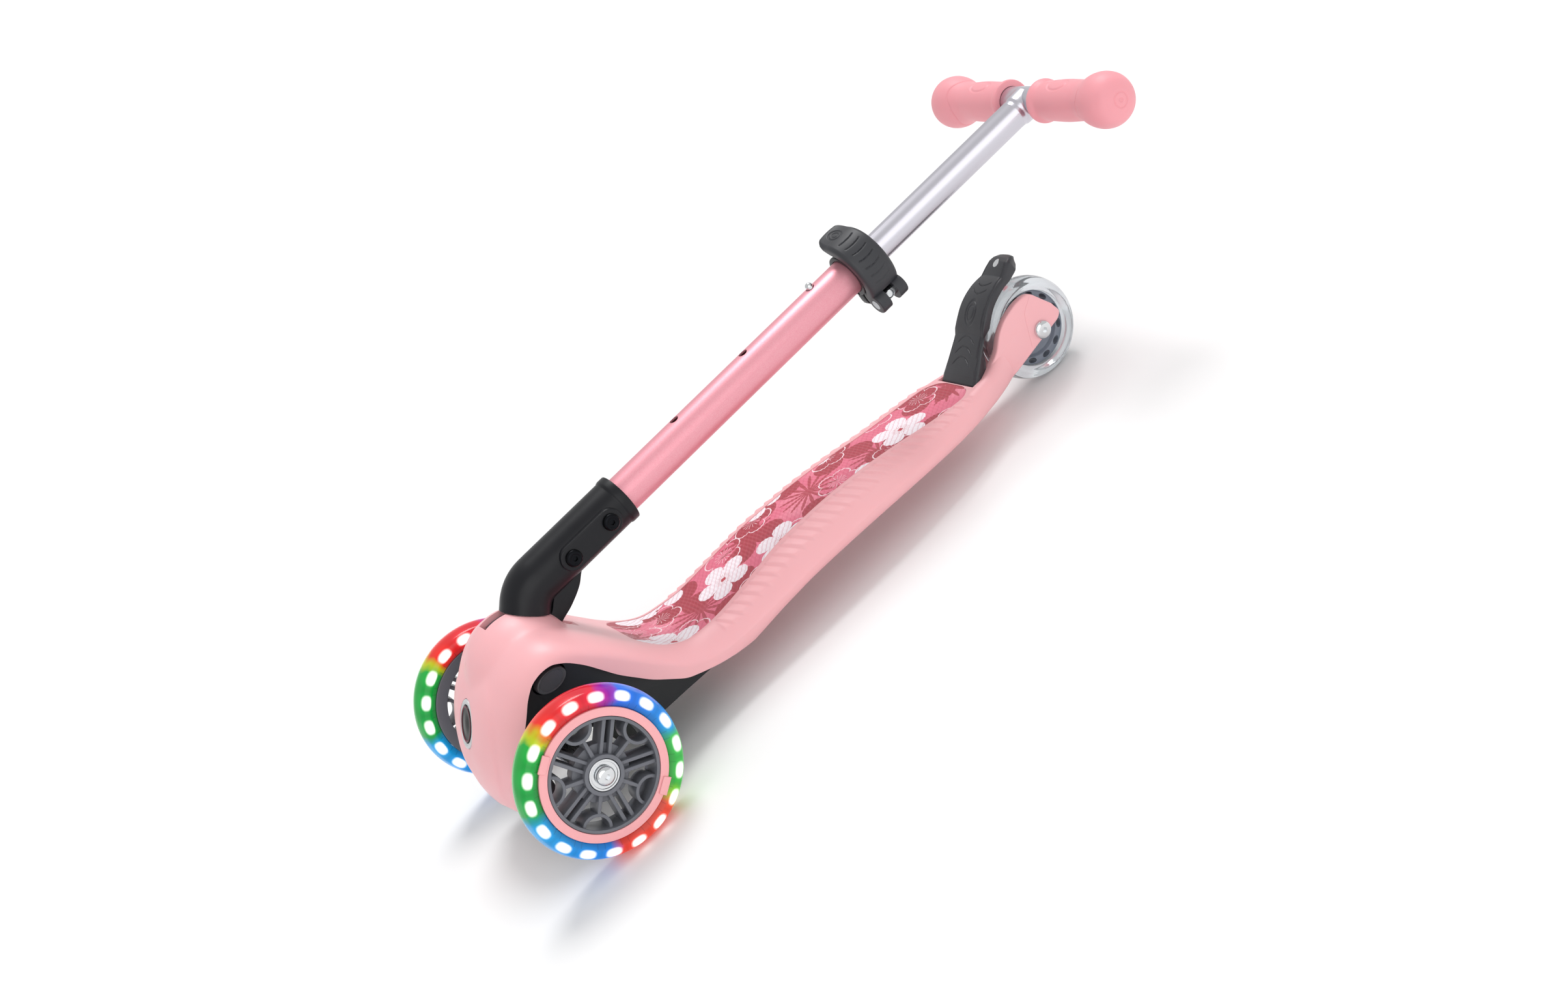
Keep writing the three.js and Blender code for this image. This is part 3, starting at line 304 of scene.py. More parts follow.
def mat_strip(name, low, high, inset, bottom, top, spacing=2.0, relief=lambda x, y: 0.0):
    """A strip with rounded ends that follows the deck between two heights measured from its top."""
    rings = []
    for y in row_of(low, high, spacing):
        end = min(y - low, high - y)
        turn_in = 15 - math.sqrt(max(0.0, 15**2 - (15 - end) ** 2)) if end < 15 else 0
        half = hull_value(y, CROWN) - inset - turn_in
        z = hull_value(y, TOP)
        steps = row_of(-half, half, 2 * half / 20)[:21]
        rings.append(
            ([(x, y, z + bottom) for x in steps]
                + [(x, y, z + top + relief(x, y)) for x in reversed(steps)]))
    return shape_mesh(name, *loft(rings))


combine(deck, mat_strip("mat_bed", 86, 402.8, 1.6, -1.9, 12))
wheel_room = [(-FORK_INNER, 430), (FORK_INNER, 430), (FORK_INNER, 510), (-FORK_INNER, 510)]
combine(deck, slab("wheel_room", wheel_room, 0, 90, "z"))
brake_room = [(-25, 403.5), (25, 403.5), (23, 414), (FORK_INNER, 431), (FORK_INNER, 510), (-FORK_INNER, 510),
              (-FORK_INNER, 431), (-23, 414)]
combine(deck, slab("brake_room", brake_room, 30, 90, "z"))
for bay_low, bay_high in ((130, 254), (258, 384)):
    for reach, depth in ((40, 13), (26, 7)):
        outer = min(reach, 33) if bay_high > 300 else reach
        ceiling = [(y, hull_value(y, TOP) - depth) for y in row_of(bay_high, bay_low, 12)]
        for low, high in ((2.5, outer), (-outer, -2.5)):
            combine(deck, slab("bay", [(bay_low, 10), (bay_high, 10)] + ceiling, low, high))


def bore(radius, low, high, y, z, sides=40):
    return turned("bore", [(low, 0), (low, radius), (high, radius), (high, 0)], sides, (0, y, z))


combine(deck, bore(3.2, -28.4, 28.4, BRAKE_Y, BRAKE_Z))
combine(deck, bore(4.3, -30, 30, REAR_AXLE_Y, REAR_AXLE_Z))
BADGE = Vector((0, -36.4 * MM + FRONT_AXLE_Y, 102 * MM))


def badge_oval(name, half_width, half_height, profile, sides=72):
    """An oval piece that stands square to the raked nose: profile is [outward, share of the oval]."""
    rings = []
    for out, share in profile:
        ring = []
        for k in range(sides):
            turn = 2 * math.pi * k / sides
            x, up = half_width * share * math.cos(turn), half_height * share * math.sin(turn)
            ring.append((x, -36.4 + 0.6 * up - 0.8 * out, 102 + 0.8 * up + 0.6 * out))
        rings.append(ring)
    return shape_mesh(name, *loft(rings))


combine(deck, badge_oval("badge_room", 12.8, 17.8, [(-6, 1), (12, 1)]))
combine(deck, badge_oval("button_room", 10.6, 14, [(-16, 1), (-5, 1)]))


def linear(code):
    """An sRGB hex colour as linear red, green, blue and alpha."""
    parts = [int(code[i:i + 2], 16) / 255 for i in (1, 3, 5)]
    return tuple(c / 12.92 if c <= 0.04045 else ((c + 0.055) / 1.055) ** 2.4 for c in parts) + (1.0,)


def add(tree, kind, inputs=None, **settings):
    """Adds a node with its settings. Inputs go by name or in order: a value, an output or a node."""
    node = tree.nodes.new(kind)
    for key, value in settings.items():
        setattr(node, key, value)
    if isinstance(inputs, tuple):
        inputs = dict(enumerate(inputs))
    for key, value in (inputs or {}).items():
        if isinstance(value, bpy.types.Node):
            value = value.outputs[0]
        if isinstance(value, bpy.types.NodeSocket):
            tree.links.new(value, node.inputs[key])
        else:
            node.inputs[key].default_value = value
    return node


def finish_named(name):
    """A new material with its shader, ready for nodes."""
    material = bpy.data.materials.new(name)
    material.use_nodes = True
    tree = material.node_tree
    shader = tree.nodes["Principled BSDF"]
    place = tree.nodes.new("ShaderNodeTexCoord").outputs["Object"]
    return material, tree, shader, place


def moulded_plastic(name, colour, deep, rough, grain_mm, grain_depth_mm):
    """Injection-moulded plastic: slow colour drift in the melt, and the mould's spark-eroded grain."""
    material, tree, shader, place = finish_named(name)
    drift = add(tree, "ShaderNodeTexNoise", {"Vector": place, "Scale": 14.0, "Detail": 3.0})
    tint = add(
        tree, "ShaderNodeMix", {"Factor": drift.outputs["Fac"], "A": linear(colour), "B": linear(deep)},
        data_type="RGBA")
    tree.links.new(tint.outputs[2], shader.inputs["Base Color"])
    wear = add(tree, "ShaderNodeTexNoise", {"Vector": place, "Scale": 60.0, "Detail": 4.0})
    gloss = add(tree, "ShaderNodeMapRange", {"Value": wear.outputs["Fac"], "From Min": 0.3, "From Max": 0.7,
                                             "To Min": rough - 0.04, "To Max": rough + 0.05})
    tree.links.new(gloss.outputs["Result"], shader.inputs["Roughness"])
    grain = add(tree, "ShaderNodeTexNoise", {"Vector": place, "Scale": 1000 / grain_mm, "Detail": 2.0})
    bump = add(tree, "ShaderNodeBump", {"Height": grain.outputs["Fac"], "Distance": grain_depth_mm * MM,
                                        "Strength": 0.5})
    tree.links.new(bump.outputs["Normal"], shader.inputs["Normal"])
    return material, tree, shader, place


def fit(piece, body, slot, material, *nodes):
    """A finished piece takes its material, rides its body and stands for its CAD nodes. The slot is not used."""
    piece.data.materials.clear()
    piece.data.materials.append(material)
    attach(piece, body)
    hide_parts(*nodes)


# Polypropylene moulded in a fine satin tool: soft, even gloss and a slight glow under the skin.
pink_polypropylene, _, pp_shader, _ = moulded_plastic(
    "satin_moulded_polypropylene", "#EFB4B8", "#ECACB1", 0.4, 0.9, 0.02)
pp_shader.inputs["Subsurface Weight"].default_value = 0.12
pp_shader.inputs["Subsurface Radius"].default_value = (0.9, 0.35, 0.3)
pp_shader.inputs["Subsurface Scale"].default_value = 0.004
fit(deck, "deck", "body_pink", pink_polypropylene, "deck_body")

# ---------------------------------------------------------------------------------------------
# Deck mat. A thin printed rubber-like sheet let into the deck, with fine ribs moulded across it
# for grip, and a print of pale five-petal flowers and dark leaves on a rose ground.
# ---------------------------------------------------------------------------------------------
MAT_RIB_PITCH = 3.0


def mat_ribs(x, y):
    edge = hull_value(y, CROWN) - 5
    inside = (1 - step(edge - 1, edge, abs(x))) * step(90, 92, y) * (1 - step(396, 398, y))
    return 0.35 * (0.5 + 0.5 * math.cos(2 * math.pi * (y + 0.004 * x * x) / MAT_RIB_PITCH)) * inside


mat = mat_strip("deck_mat_printed", 86.4, 402.4, 2, -1.6, -0.45, 0.6, mat_ribs)
# Printed thermoplastic sheet: flat inks with a low sheen, broken by the fine ribs.
printed_mat, tree, shader, place = finish_named("printed_ribbed_mat")
shader.inputs["Roughness"].default_value = 0.5
shader.inputs["Sheen Weight"].default_value = 0.1
flat = add(tree, "ShaderNodeMapping", {"Vector": place, "Scale": (1.0, 1.0, 0.0)})


def petals(spacing_mm, radius, count, depth, sharpness, seed):
    """Flowers on a scattered grid: how far inside a petal, distance from its centre, its angle."""
    shifted = add(
        tree, "ShaderNodeMapping",
        {"Vector": flat.outputs[0], "Location": (seed * 0.013, seed * 0.029, 0)})
    cells = add(tree, "ShaderNodeTexVoronoi", {"Vector": shifted.outputs[0], "Scale": 1000 / spacing_mm,
                                               "Randomness": 0.75}, voronoi_dimensions="2D")
    centre = add(tree, "ShaderNodeVectorMath", {0: shifted.outputs[0], 1: cells.outputs["Position"]},
                 operation="SUBTRACT")
    parts = add(tree, "ShaderNodeSeparateXYZ", {"Vector": centre.outputs[0]})
    hue = add(tree, "ShaderNodeSeparateColor", {"Color": cells.outputs["Color"]})
    angle = add(
        tree, "ShaderNodeMath",
        (
            add(tree, "ShaderNodeMath", (parts.outputs[1], parts.outputs[0]), operation="ARCTAN2"),
            add(tree, "ShaderNodeMath", (hue.outputs[0], 6.28), operation="MULTIPLY")),
        operation="ADD").outputs[0]
    lobe = add(
        tree, "ShaderNodeMath",
        (
            add(
                tree, "ShaderNodeMath",
                (add(tree, "ShaderNodeMath", (angle, count / 2), operation="MULTIPLY"),),
                operation="COSINE"),),
        operation="ABSOLUTE").outputs[0]
    edge = add(
        tree, "ShaderNodeMath",
        (
            add(
                tree, "ShaderNodeMath",
                (
                    add(
                        tree, "ShaderNodeMath",
                        (add(tree, "ShaderNodeMath", (lobe, sharpness), operation="POWER"), depth),
                        operation="MULTIPLY"),
                    1 - depth),
                operation="ADD"),
            radius * MM),
        operation="MULTIPLY").outputs[0]
    away = add(tree, "ShaderNodeVectorMath", {0: centre.outputs[0]}, operation="LENGTH").outputs["Value"]
    inside = add(tree, "ShaderNodeMath", (edge, away), operation="SUBTRACT").outputs[0]
    return inside, away, angle


ground_noise = add(tree, "ShaderNodeTexNoise", {"Vector": flat.outputs[0], "Scale": 22.0, "Detail": 2.0})
ink = add(
    tree, "ShaderNodeMix",
    {
        "A": linear("#DF6A85"), "B": linear("#E8859A"),
        "Factor": add(
            tree, "ShaderNodeMapRange",
            {"Value": ground_noise.outputs["Fac"], "From Min": 0.5, "From Max": 0.62}).outputs[0]},
    data_type="RGBA").outputs[2]
leaf_in, _, leaf_angle = petals(54, 27, 3, 0.75, 0.8, 3)
ink = add(
    tree, "ShaderNodeMix",
    {
        "Factor": add(
            tree, "ShaderNodeMapRange", {"Value": leaf_in, "From Min": 0.0, "From Max": 0.3 * MM}),
        "A": ink, "B": linear("#A8283B")},
    data_type="RGBA").outputs[2]
vein = add(
    tree, "ShaderNodeMath",
    (
        add(
            tree, "ShaderNodeMath",
            (add(tree, "ShaderNodeMath", (leaf_angle, 9.0), operation="MULTIPLY"),), operation="SINE"),),
    operation="ABSOLUTE").outputs[0]
vein_line = add(
    tree, "ShaderNodeMath",
    (
        add(tree, "ShaderNodeMath", (vein, 0.16), operation="LESS_THAN"),
        add(tree, "ShaderNodeMapRange", {"Value": leaf_in, "From Min": 0.0, "From Max": 0.3 * MM})),
    operation="MULTIPLY").outputs[0]
ink = add(
    tree, "ShaderNodeMix",
    {
        "Factor": add(tree, "ShaderNodeMath", (vein_line, 0.7), operation="MULTIPLY"), "A": ink,
        "B": linear("#8E1F30")},
    data_type="RGBA").outputs[2]
frond_in, _, _ = petals(60, 25, 15, 0.8, 2.4, 11)
ink = add(
    tree, "ShaderNodeMix",
    {
        "Factor": add(
            tree, "ShaderNodeMath",
            (
                add(
                    tree, "ShaderNodeMapRange",
                    {"Value": frond_in, "From Min": 0.0, "From Max": 0.3 * MM}),
                0.9),
            operation="MULTIPLY"),
        "A": ink, "B": linear("#A92638")},
    data_type="RGBA").outputs[2]
line_in, line_away, line_angle = petals(50, 17, 5, 0.34, 0.55, 7)
line_band = add(
    tree, "ShaderNodeMath", (add(tree, "ShaderNodeMath", (line_in,), operation="ABSOLUTE"), 0.5 * MM),
    operation="LESS_THAN").outputs[0]
spokes = add(
    tree, "ShaderNodeMath",
    (
        add(
            tree, "ShaderNodeMath",
            (
                add(
                    tree, "ShaderNodeMath",
                    (
                        add(
                            tree, "ShaderNodeMath",
                            (add(tree, "ShaderNodeMath", (line_angle, 7.0), operation="MULTIPLY"),),
                            operation="SINE"),),
                    operation="ABSOLUTE"),
                0.2),
            operation="LESS_THAN"),
        add(tree, "ShaderNodeMath", (line_away, 8 * MM), operation="LESS_THAN")),
    operation="MULTIPLY").outputs[0]
ink = add(
    tree, "ShaderNodeMix",
    {
        "Factor": add(tree, "ShaderNodeMath", (line_band, spokes), operation="MAXIMUM"), "A": ink,
        "B": linear("#F7DDE4")},
    data_type="RGBA").outputs[2]
bloom_in, bloom_away, bloom_angle = petals(68, 23, 5, 0.6, 0.42, 0)
ink = add(
    tree, "ShaderNodeMix",
    {
        "Factor": add(
            tree, "ShaderNodeMapRange", {"Value": bloom_in, "From Min": 0.0, "From Max": 0.3 * MM}),
        "A": ink, "B": linear("#F6EEF4")},
    data_type="RGBA").outputs[2]
streak = add(
    tree, "ShaderNodeMath",
    (
        add(
            tree, "ShaderNodeMath",
            (
                add(
                    tree, "ShaderNodeMath",
                    (
                        add(
                            tree, "ShaderNodeMath",
                            (add(tree, "ShaderNodeMath", (bloom_angle, 12.5), operation="MULTIPLY"),),
                            operation="SINE"),),
                    operation="ABSOLUTE"),
                0.22),
            operation="LESS_THAN"),
        add(tree, "ShaderNodeMath", (bloom_away, 7 * MM), operation="LESS_THAN")),
    operation="MULTIPLY").outputs[0]
pale_vein = add(
    tree, "ShaderNodeMath",
    (
        add(
            tree, "ShaderNodeMath",
            (
                add(
                    tree, "ShaderNodeMath",
                    (add(tree, "ShaderNodeMath", (bloom_angle, 27.5), operation="MULTIPLY"),),
                    operation="SINE"),),
            operation="ABSOLUTE"),
        0.2),
    operation="LESS_THAN").outputs[0]
ink = add(
    tree, "ShaderNodeMix",
    {
        "Factor": add(
            tree, "ShaderNodeMath",
            (
                add(
                    tree, "ShaderNodeMath",
                    (
                        pale_vein,
                        add(
                            tree, "ShaderNodeMapRange",
                            {"Value": bloom_in, "From Min": 0.0, "From Max": 0.3 * MM})),
                    operation="MULTIPLY"),
                0.25),
            operation="MULTIPLY"),
        "A": ink, "B": linear("#D9B4C4")},
    data_type="RGBA").outputs[2]
ink = add(
    tree, "ShaderNodeMix",
    {
        "Factor": add(
            tree, "ShaderNodeMath",
            (
                streak,
                add(
                    tree, "ShaderNodeMapRange",
                    {"Value": bloom_in, "From Min": 0.0, "From Max": 0.3 * MM})),
            operation="MULTIPLY"),
        "A": ink, "B": linear("#B8303F")},
    data_type="RGBA").outputs[2]
lines = add(tree, "ShaderNodeTexWave", {"Vector": flat.outputs[0], "Scale": 110.0, "Distortion": 2.0,
                                        "Detail": 1.0}, wave_type="BANDS", bands_direction="DIAGONAL")
ink = add(
    tree, "ShaderNodeMix",
    {
        "Factor": add(
            tree, "ShaderNodeMath",
            (add(tree, "ShaderNodeMath", (lines.outputs["Fac"], 0.82), operation="GREATER_THAN"), 0.28),
            operation="MULTIPLY"),
        "A": ink, "B": linear("#C24A62")},
    data_type="RGBA").outputs[2]
ink = add(
    tree, "ShaderNodeMix",
    {
        "Factor": add(tree, "ShaderNodeMath", (bloom_away, 2.2 * MM), operation="LESS_THAN"), "A": ink,
        "B": linear("#B8303F")},
    data_type="RGBA").outputs[2]
tree.links.new(ink, shader.inputs["Base Color"])
fit(mat, "deck", "mat_print", printed_mat, "deck_mat")

# ---------------------------------------------------------------------------------------------
# Steering housing. Black glass-filled nylon that fills the hollow of the nose and carries the
# steering pivot. It shows under the arch, around the side buttons and behind the front wheels.
# ---------------------------------------------------------------------------------------------
HOUSING_HALF = 51
HOUSING = [
    (-45, 36), (-42.4, 50), (-36.4, 66), (-26.5, 83.6), (-10.6, 100.7), (-1.6, 111.5), (7.2, 118.4),
    (16, 120.9), (24.8, 120.5), (33.6, 114.4), (42.5, 103.7), (56.5, 80.7), (73.6, 59.6), (93.7, 42.1),
    (104, 37.9), (116, 33.7), (126, 31.2), (112, 32.6), (90, 33), (60, 33), (32, 34), (28, 48),
    (22, 60), (22, 74), (16, 80), (-8, 80), (-20, 68), (-22, 44), (-27, 35)]
housing = slab("steering_housing_moulding", eased(HOUSING, 5), -HOUSING_HALF, HOUSING_HALF, bevel=1.2)
combine(housing, slab("housing_slot", slot_outline, -SLOT_HALF, SLOT_HALF))
shutter_bore = turned(
    "shutter_bore",
    [
        (-SLOT_HALF, 0), (-SLOT_HALF, SHUTTER_RADIUS + 0.9), (SLOT_HALF, SHUTTER_RADIUS + 0.9),
        (SLOT_HALF, 0)],
    64, (0, FOLD_Y, FOLD_Z))
combine(housing, shutter_bore)
combine(housing, badge_oval("housing_badge_room", 11, 14.4, [(-18, 1), (12, 1)]))
for side in (1, -1):
    room = [
        (19.5 + 13.5 * math.cos(a * math.pi / 24), 109.5 + 8.6 * math.sin(a * math.pi / 24))
        for a in range(48)]
    low, high = sorted((side * 37.9, side * 60))
    combine(housing, slab("button_room", room, low, high))
king = turned("king_room", [(-60, 0), (-60, 4.3), (60, 4.3), (60, 0)], 32, axis="z")
king.data.transform(Matrix.Translation((0, FRONT_AXLE_Y, 0.060)) @ Matrix.Rotation(math.radians(-45), 4, "X")
                    @ Matrix.Translation((0, -FRONT_AXLE_Y, 0)))
combine(housing, king)
# Glass-filled nylon: near black, with a dull sheen from the fibres just under its skin.
black_nylon, tree, shader, place = moulded_plastic(
    "glass_filled_nylon_black", "#131417", "#191A1E", 0.42, 0.5, 0.03)
shader.inputs["Specular IOR Level"].default_value = 0.35
fit(housing, "deck", "black_plastic", black_nylon, "steering_housing")

# ---------------------------------------------------------------------------------------------
# Fold buttons. A dark grey oval push button on each side of the housing, each with a raised rim
# and a shallow dished face, sprung outward against the fold latch.
# ---------------------------------------------------------------------------------------------
button_grey = moulded_plastic("acetal_push_button_grey", "#3A3C40", "#424448", 0.4, 0.5, 0.02)[0]
for side, word in ((1, "left"), (-1, "right")):
    rings = []
    for out, share in ((42.2, 1), (55.6, 1), (56.6, 0.965), (57, 0.9), (56.9, 0.84), (56.2, 0.78), (56.1, 0.4),
                       (56.2, 0.05)):
        rings.append([(side * out, 19.5 + 12 * share * math.cos(k * math.pi / 36),
                       109.5 + 7.2 * share * math.sin(k * math.pi / 36)) for k in range(72)])
    fit(shape_mesh("fold_button_" + word, *loft(rings)), "fold_button_" + word, "black_plastic", button_grey,
        "push_button_" + word)

# ---------------------------------------------------------------------------------------------
# Steering lock. A pale grey oval bezel in the nose with a black push button inside it and a
# thin dark red seal ring showing around the button.
# ---------------------------------------------------------------------------------------------
bezel = badge_oval(
    "lock_bezel_ring", 12.5, 17.5, [(-5.6, 1), (0, 1), (0.7, 0.985), (1, 0.95), (1, 0.9), (0.6, 0.86)])
combine(bezel, badge_oval("bezel_hole", 10.4, 13.8, [(-7, 1), (4, 1)]))
# Moulded ABS: an even pale grey with a soft highlight.
bezel_grey = moulded_plastic("satin_moulded_abs_pale_grey", "#C9CBCC", "#C2C4C6", 0.32, 0.5, 0.01)[0]
fit(bezel, "deck", "bezel_grey", bezel_grey, "lock_bezel")
lock = badge_oval(
    "lock_button_cap", 10, 13.4,
    [
        (-9, 1), (0.4, 1), (1.1, 0.97), (1.3, 0.92), (0.9, 0.86), (0.7, 0.8), (1.1, 0.5), (1.5, 0.2),
        (1.6, 0.03)])
# Black ABS polished in the mould, with a thin dark red line inside its rim.
lock_finish, tree, shader, place = finish_named("gloss_abs_black_with_red_rim")
shader.inputs["Roughness"].default_value = 0.3
shader.inputs["Specular IOR Level"].default_value = 0.25
spot = add(tree, "ShaderNodeVectorMath", {0: place, 1: tuple(BADGE)}, operation="SUBTRACT")
oval = add(tree, "ShaderNodeVectorMath", {0: spot.outputs[0], 1: (1 / 0.010, 0.6 / 0.0134, 0.8 / 0.0134)},
           operation="MULTIPLY")
oval_parts = add(tree, "ShaderNodeSeparateXYZ", {"Vector": oval.outputs[0]})
climb = add(
    tree, "ShaderNodeMath", (oval_parts.outputs[1], oval_parts.outputs[2]), operation="ADD").outputs[0]
share = add(
    tree, "ShaderNodeMath",
    (
        add(
            tree, "ShaderNodeMath",
            (
                add(
                    tree, "ShaderNodeMath",
                    (add(tree, "ShaderNodeMath", (oval_parts.outputs[0],), operation="ABSOLUTE"), 2.0),
                    operation="POWER"),
                add(
                    tree, "ShaderNodeMath",
                    (add(tree, "ShaderNodeMath", (climb,), operation="ABSOLUTE"), 2.0),
                    operation="POWER")),
            operation="ADD"),),
    operation="SQRT").outputs[0]
rim = add(
    tree, "ShaderNodeMath",
    (
        add(tree, "ShaderNodeMath", (share, 0.86), operation="GREATER_THAN"),
        add(tree, "ShaderNodeMath", (share, 0.955), operation="LESS_THAN")),
    operation="MULTIPLY").outputs[0]
rim_tint = add(tree, "ShaderNodeMix", {"Factor": rim, "A": linear("#08080A"), "B": linear("#6B1F33")},
               data_type="RGBA")
tree.links.new(rim_tint.outputs[2], shader.inputs["Base Color"])
fit(lock, "steering_lock", "black_plastic", lock_finish, "lock_button")

# ---------------------------------------------------------------------------------------------
# Front axle. A welded steel cross tube with its raked steering boss, a bolt into each end and
# two rubber cushions that centre the lean steering. All of it sits behind the nose.
# ---------------------------------------------------------------------------------------------


def metal(name, colour, rough, grain_scale=(40, 400, 400), polish=0.06):
    """Worked metal with fine directional scratches and handling marks in its polish."""
    material, tree, shader, place = finish_named(name)
    shader.inputs["Metallic"].default_value = 1.0
    shader.inputs["Base Color"].default_value = linear(colour)
    stretched = add(tree, "ShaderNodeMapping", {"Vector": place, "Scale": grain_scale})
    grain = add(tree, "ShaderNodeTexNoise", {"Vector": stretched.outputs[0], "Scale": 4.0, "Detail": 4.0})
    gloss = add(tree, "ShaderNodeMapRange", {"Value": grain.outputs["Fac"], "From Min": 0.3, "From Max": 0.7,
                                             "To Min": max(0.02, rough - polish), "To Max": rough + polish})
    tree.links.new(gloss.outputs["Result"], shader.inputs["Roughness"])
    bump = add(
        tree, "ShaderNodeBump",
        {"Height": grain.outputs["Fac"], "Distance": 0.01 * MM, "Strength": 0.3})
    tree.links.new(bump.outputs["Normal"], shader.inputs["Normal"])
    return material


# Zinc plate is a soft grey; chrome is a clear mirror; black oxide keeps a dark oily shine.
zinc_steel = metal("zinc_plated_steel", "#A9ABAE", 0.3)
chrome = metal("bright_chrome_plate", "#D9DBDD", 0.08, polish=0.03)
black_oxide = metal("black_oxide_steel", "#1B1C1F", 0.34)


def finish_node(node, material):
    """A CAD piece whose shape is right as it is takes its real finish."""
    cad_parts[node].data.materials.clear()
    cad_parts[node].data.materials.append(material)


for node in ("axle_carrier", "fold_pin", "king_bolt", "brake_pin", "brake_spring", "lever_pin",
             "button_spring"):
    finish_node(node, zinc_steel)
# Polyurethane rubber: matt amber, slightly uneven.
cushion_foam = moulded_plastic("polyurethane_cushion", "#A8925A", "#9C8750", 0.5, 1.0, 0.05)[0]
for node in ("steering_cushion_upper", "steering_cushion_lower"):
    finish_node(node, cushion_foam)


def socket_screw(name, centre, side, profile, socket, depth, sides=72):
    """A domed screw along x with a hexagon socket sunk in its head."""
    screw = turned(name, profile, sides, centre, side=side)
    end = max(along for along, radius in profile)
    hexagon = [
        (
            centre[1] + socket * math.cos(k * math.pi / 3 + 0.2),
            centre[2] + socket * math.sin(k * math.pi / 3 + 0.2))
        for k in range(6)]
    low, high = sorted((centre[0] + side * (end - depth), centre[0] + side * (end + 5)))
    return combine(screw, slab("socket", hexagon, low, high))


HALF_TRACK, WHEEL_Z = 104.7, 60
wheel_low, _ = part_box("front_axle_bolt_left")
bolt_inner = wheel_low.x / MM - HALF_TRACK
for side, word in ((1, "left"), (-1, "right")):
    bolt = socket_screw(
        "axle_bolt_" + word, (side * HALF_TRACK, 0, WHEEL_Z), side,
        eased(
            [
                (bolt_inner, 0, 0), (bolt_inner, 3.9), (10.4, 3.9, 0), (10.4, 7, 0.2), (11.2, 7, 0.2),
                (12.9, 6.5, 1.4), (14.2, 4.9, 1.4), (14.6, 2.6, 0.6), (14.6, 0, 0)],
            0.3),
        2.3, 2.2)
    fit(bolt, "axle", "chrome", chrome, "front_axle_bolt_" + word)

# ---------------------------------------------------------------------------------------------
# Front wheels. Grey nylon hub with five double spokes and five half loops open to the rim, a
# pink snap ring, sealed bearings, and a translucent tyre cast over a ring of lights.
# ---------------------------------------------------------------------------------------------
hub_parts = turned(
    "hub_rim", eased([(-10, 37.2), (-10, 46), (6.4, 46), (6.4, 39.6), (10.4, 39.6), (10.4, 37.2)], 0.7),
    144, (HALF_TRACK, 0, WHEEL_Z))
BARREL = [(-10.4, 11.3), (-10.4, 14.2), (10.4, 14.2), (10.4, 11.3), (2.6, 11.3), (2.6, 6.6), (-2.6, 6.6),
          (-2.6, 11.3)]
combine(hub_parts, turned("hub_barrel", eased(BARREL, 0.6), 96, (HALF_TRACK, 0, WHEEL_Z)), "UNION")
combine(hub_parts, turned("hub_disc", eased([(-5, 13.8), (-5, 20.6), (3.6, 20.6), (3.6, 13.8)], 0.6), 20,
                          (HALF_TRACK, 0, WHEEL_Z)), "UNION")
SPOKE_START, SPOKE_PAIRS, RIB_DEPTH = 47, 5, 6.5


def spoke(points, degrees, low=-RIB_DEPTH, high=RIB_DEPTH + 1.2):
    """A rib drawn outward along y from the wheel's centre and turned to its place."""
    turn = math.radians(degrees)
    outline = [(a * math.cos(turn) - b * math.sin(turn), WHEEL_Z + a * math.sin(turn) + b * math.cos(turn))
               for a, b in points]
    combine(hub_parts, slab("spoke", outline, HALF_TRACK + low, HALF_TRACK + high, bevel=0.5), "UNION")


for pair in range(SPOKE_PAIRS):
    turn = SPOKE_START + pair * 360 / SPOKE_PAIRS
    for shift in (-3.1, 3.1):
        spoke([(13.4, shift - 1.2), (39.2, shift - 1.4), (39.2, shift + 1.4), (13.4, shift + 1.2)], turn)
    turn += 180 / SPOKE_PAIRS
    spoke([(13.4, -1.5), (27, -1.2), (27, 1.2), (13.4, 1.5)], turn)
    bow = [(36.6 - 10 * math.sin(k * math.pi / 20), 10.8 * math.cos(k * math.pi / 20)) for k in range(21)]
    bow += [
        (36.6 - 7.6 * math.sin(k * math.pi / 20), 8.4 * math.cos(k * math.pi / 20))
        for k in range(20, -1, -1)]
    bow = [(39.4, 11.6)] + bow[:21] + [(39.4, -11.6), (39.4, -9.2)] + bow[21:] + [(39.4, 9.2)]
    spoke(bow, turn)
# Grey glass-filled nylon: satin ribs with crisp moulded edges.
hub_nylon = moulded_plastic("glass_filled_nylon_grey", "#63656C", "#6A6C73", 0.34, 0.6, 0.02)[0]
# Pink ABS: smoother and a little glossier than the deck.
ring_pink = moulded_plastic("satin_moulded_abs_pink", "#F3AFB1", "#EFA5A9", 0.34, 0.8, 0.01)[0]

TYRE = eased(
    [
        (-5.4, 46.3, 0.2), (-9.5, 46.3, 0.6), (-12, 51, 3), (-9.6, 57.2, 3.6), (0, 60, 7),
        (9.6, 57.2, 3.6), (12, 51, 3), (9.5, 46.3, 0.6), (5.4, 46.3, 0.2), (5.4, 50.4, 0.4),
        (-5.4, 50.4, 0.4)],
    2, 8)
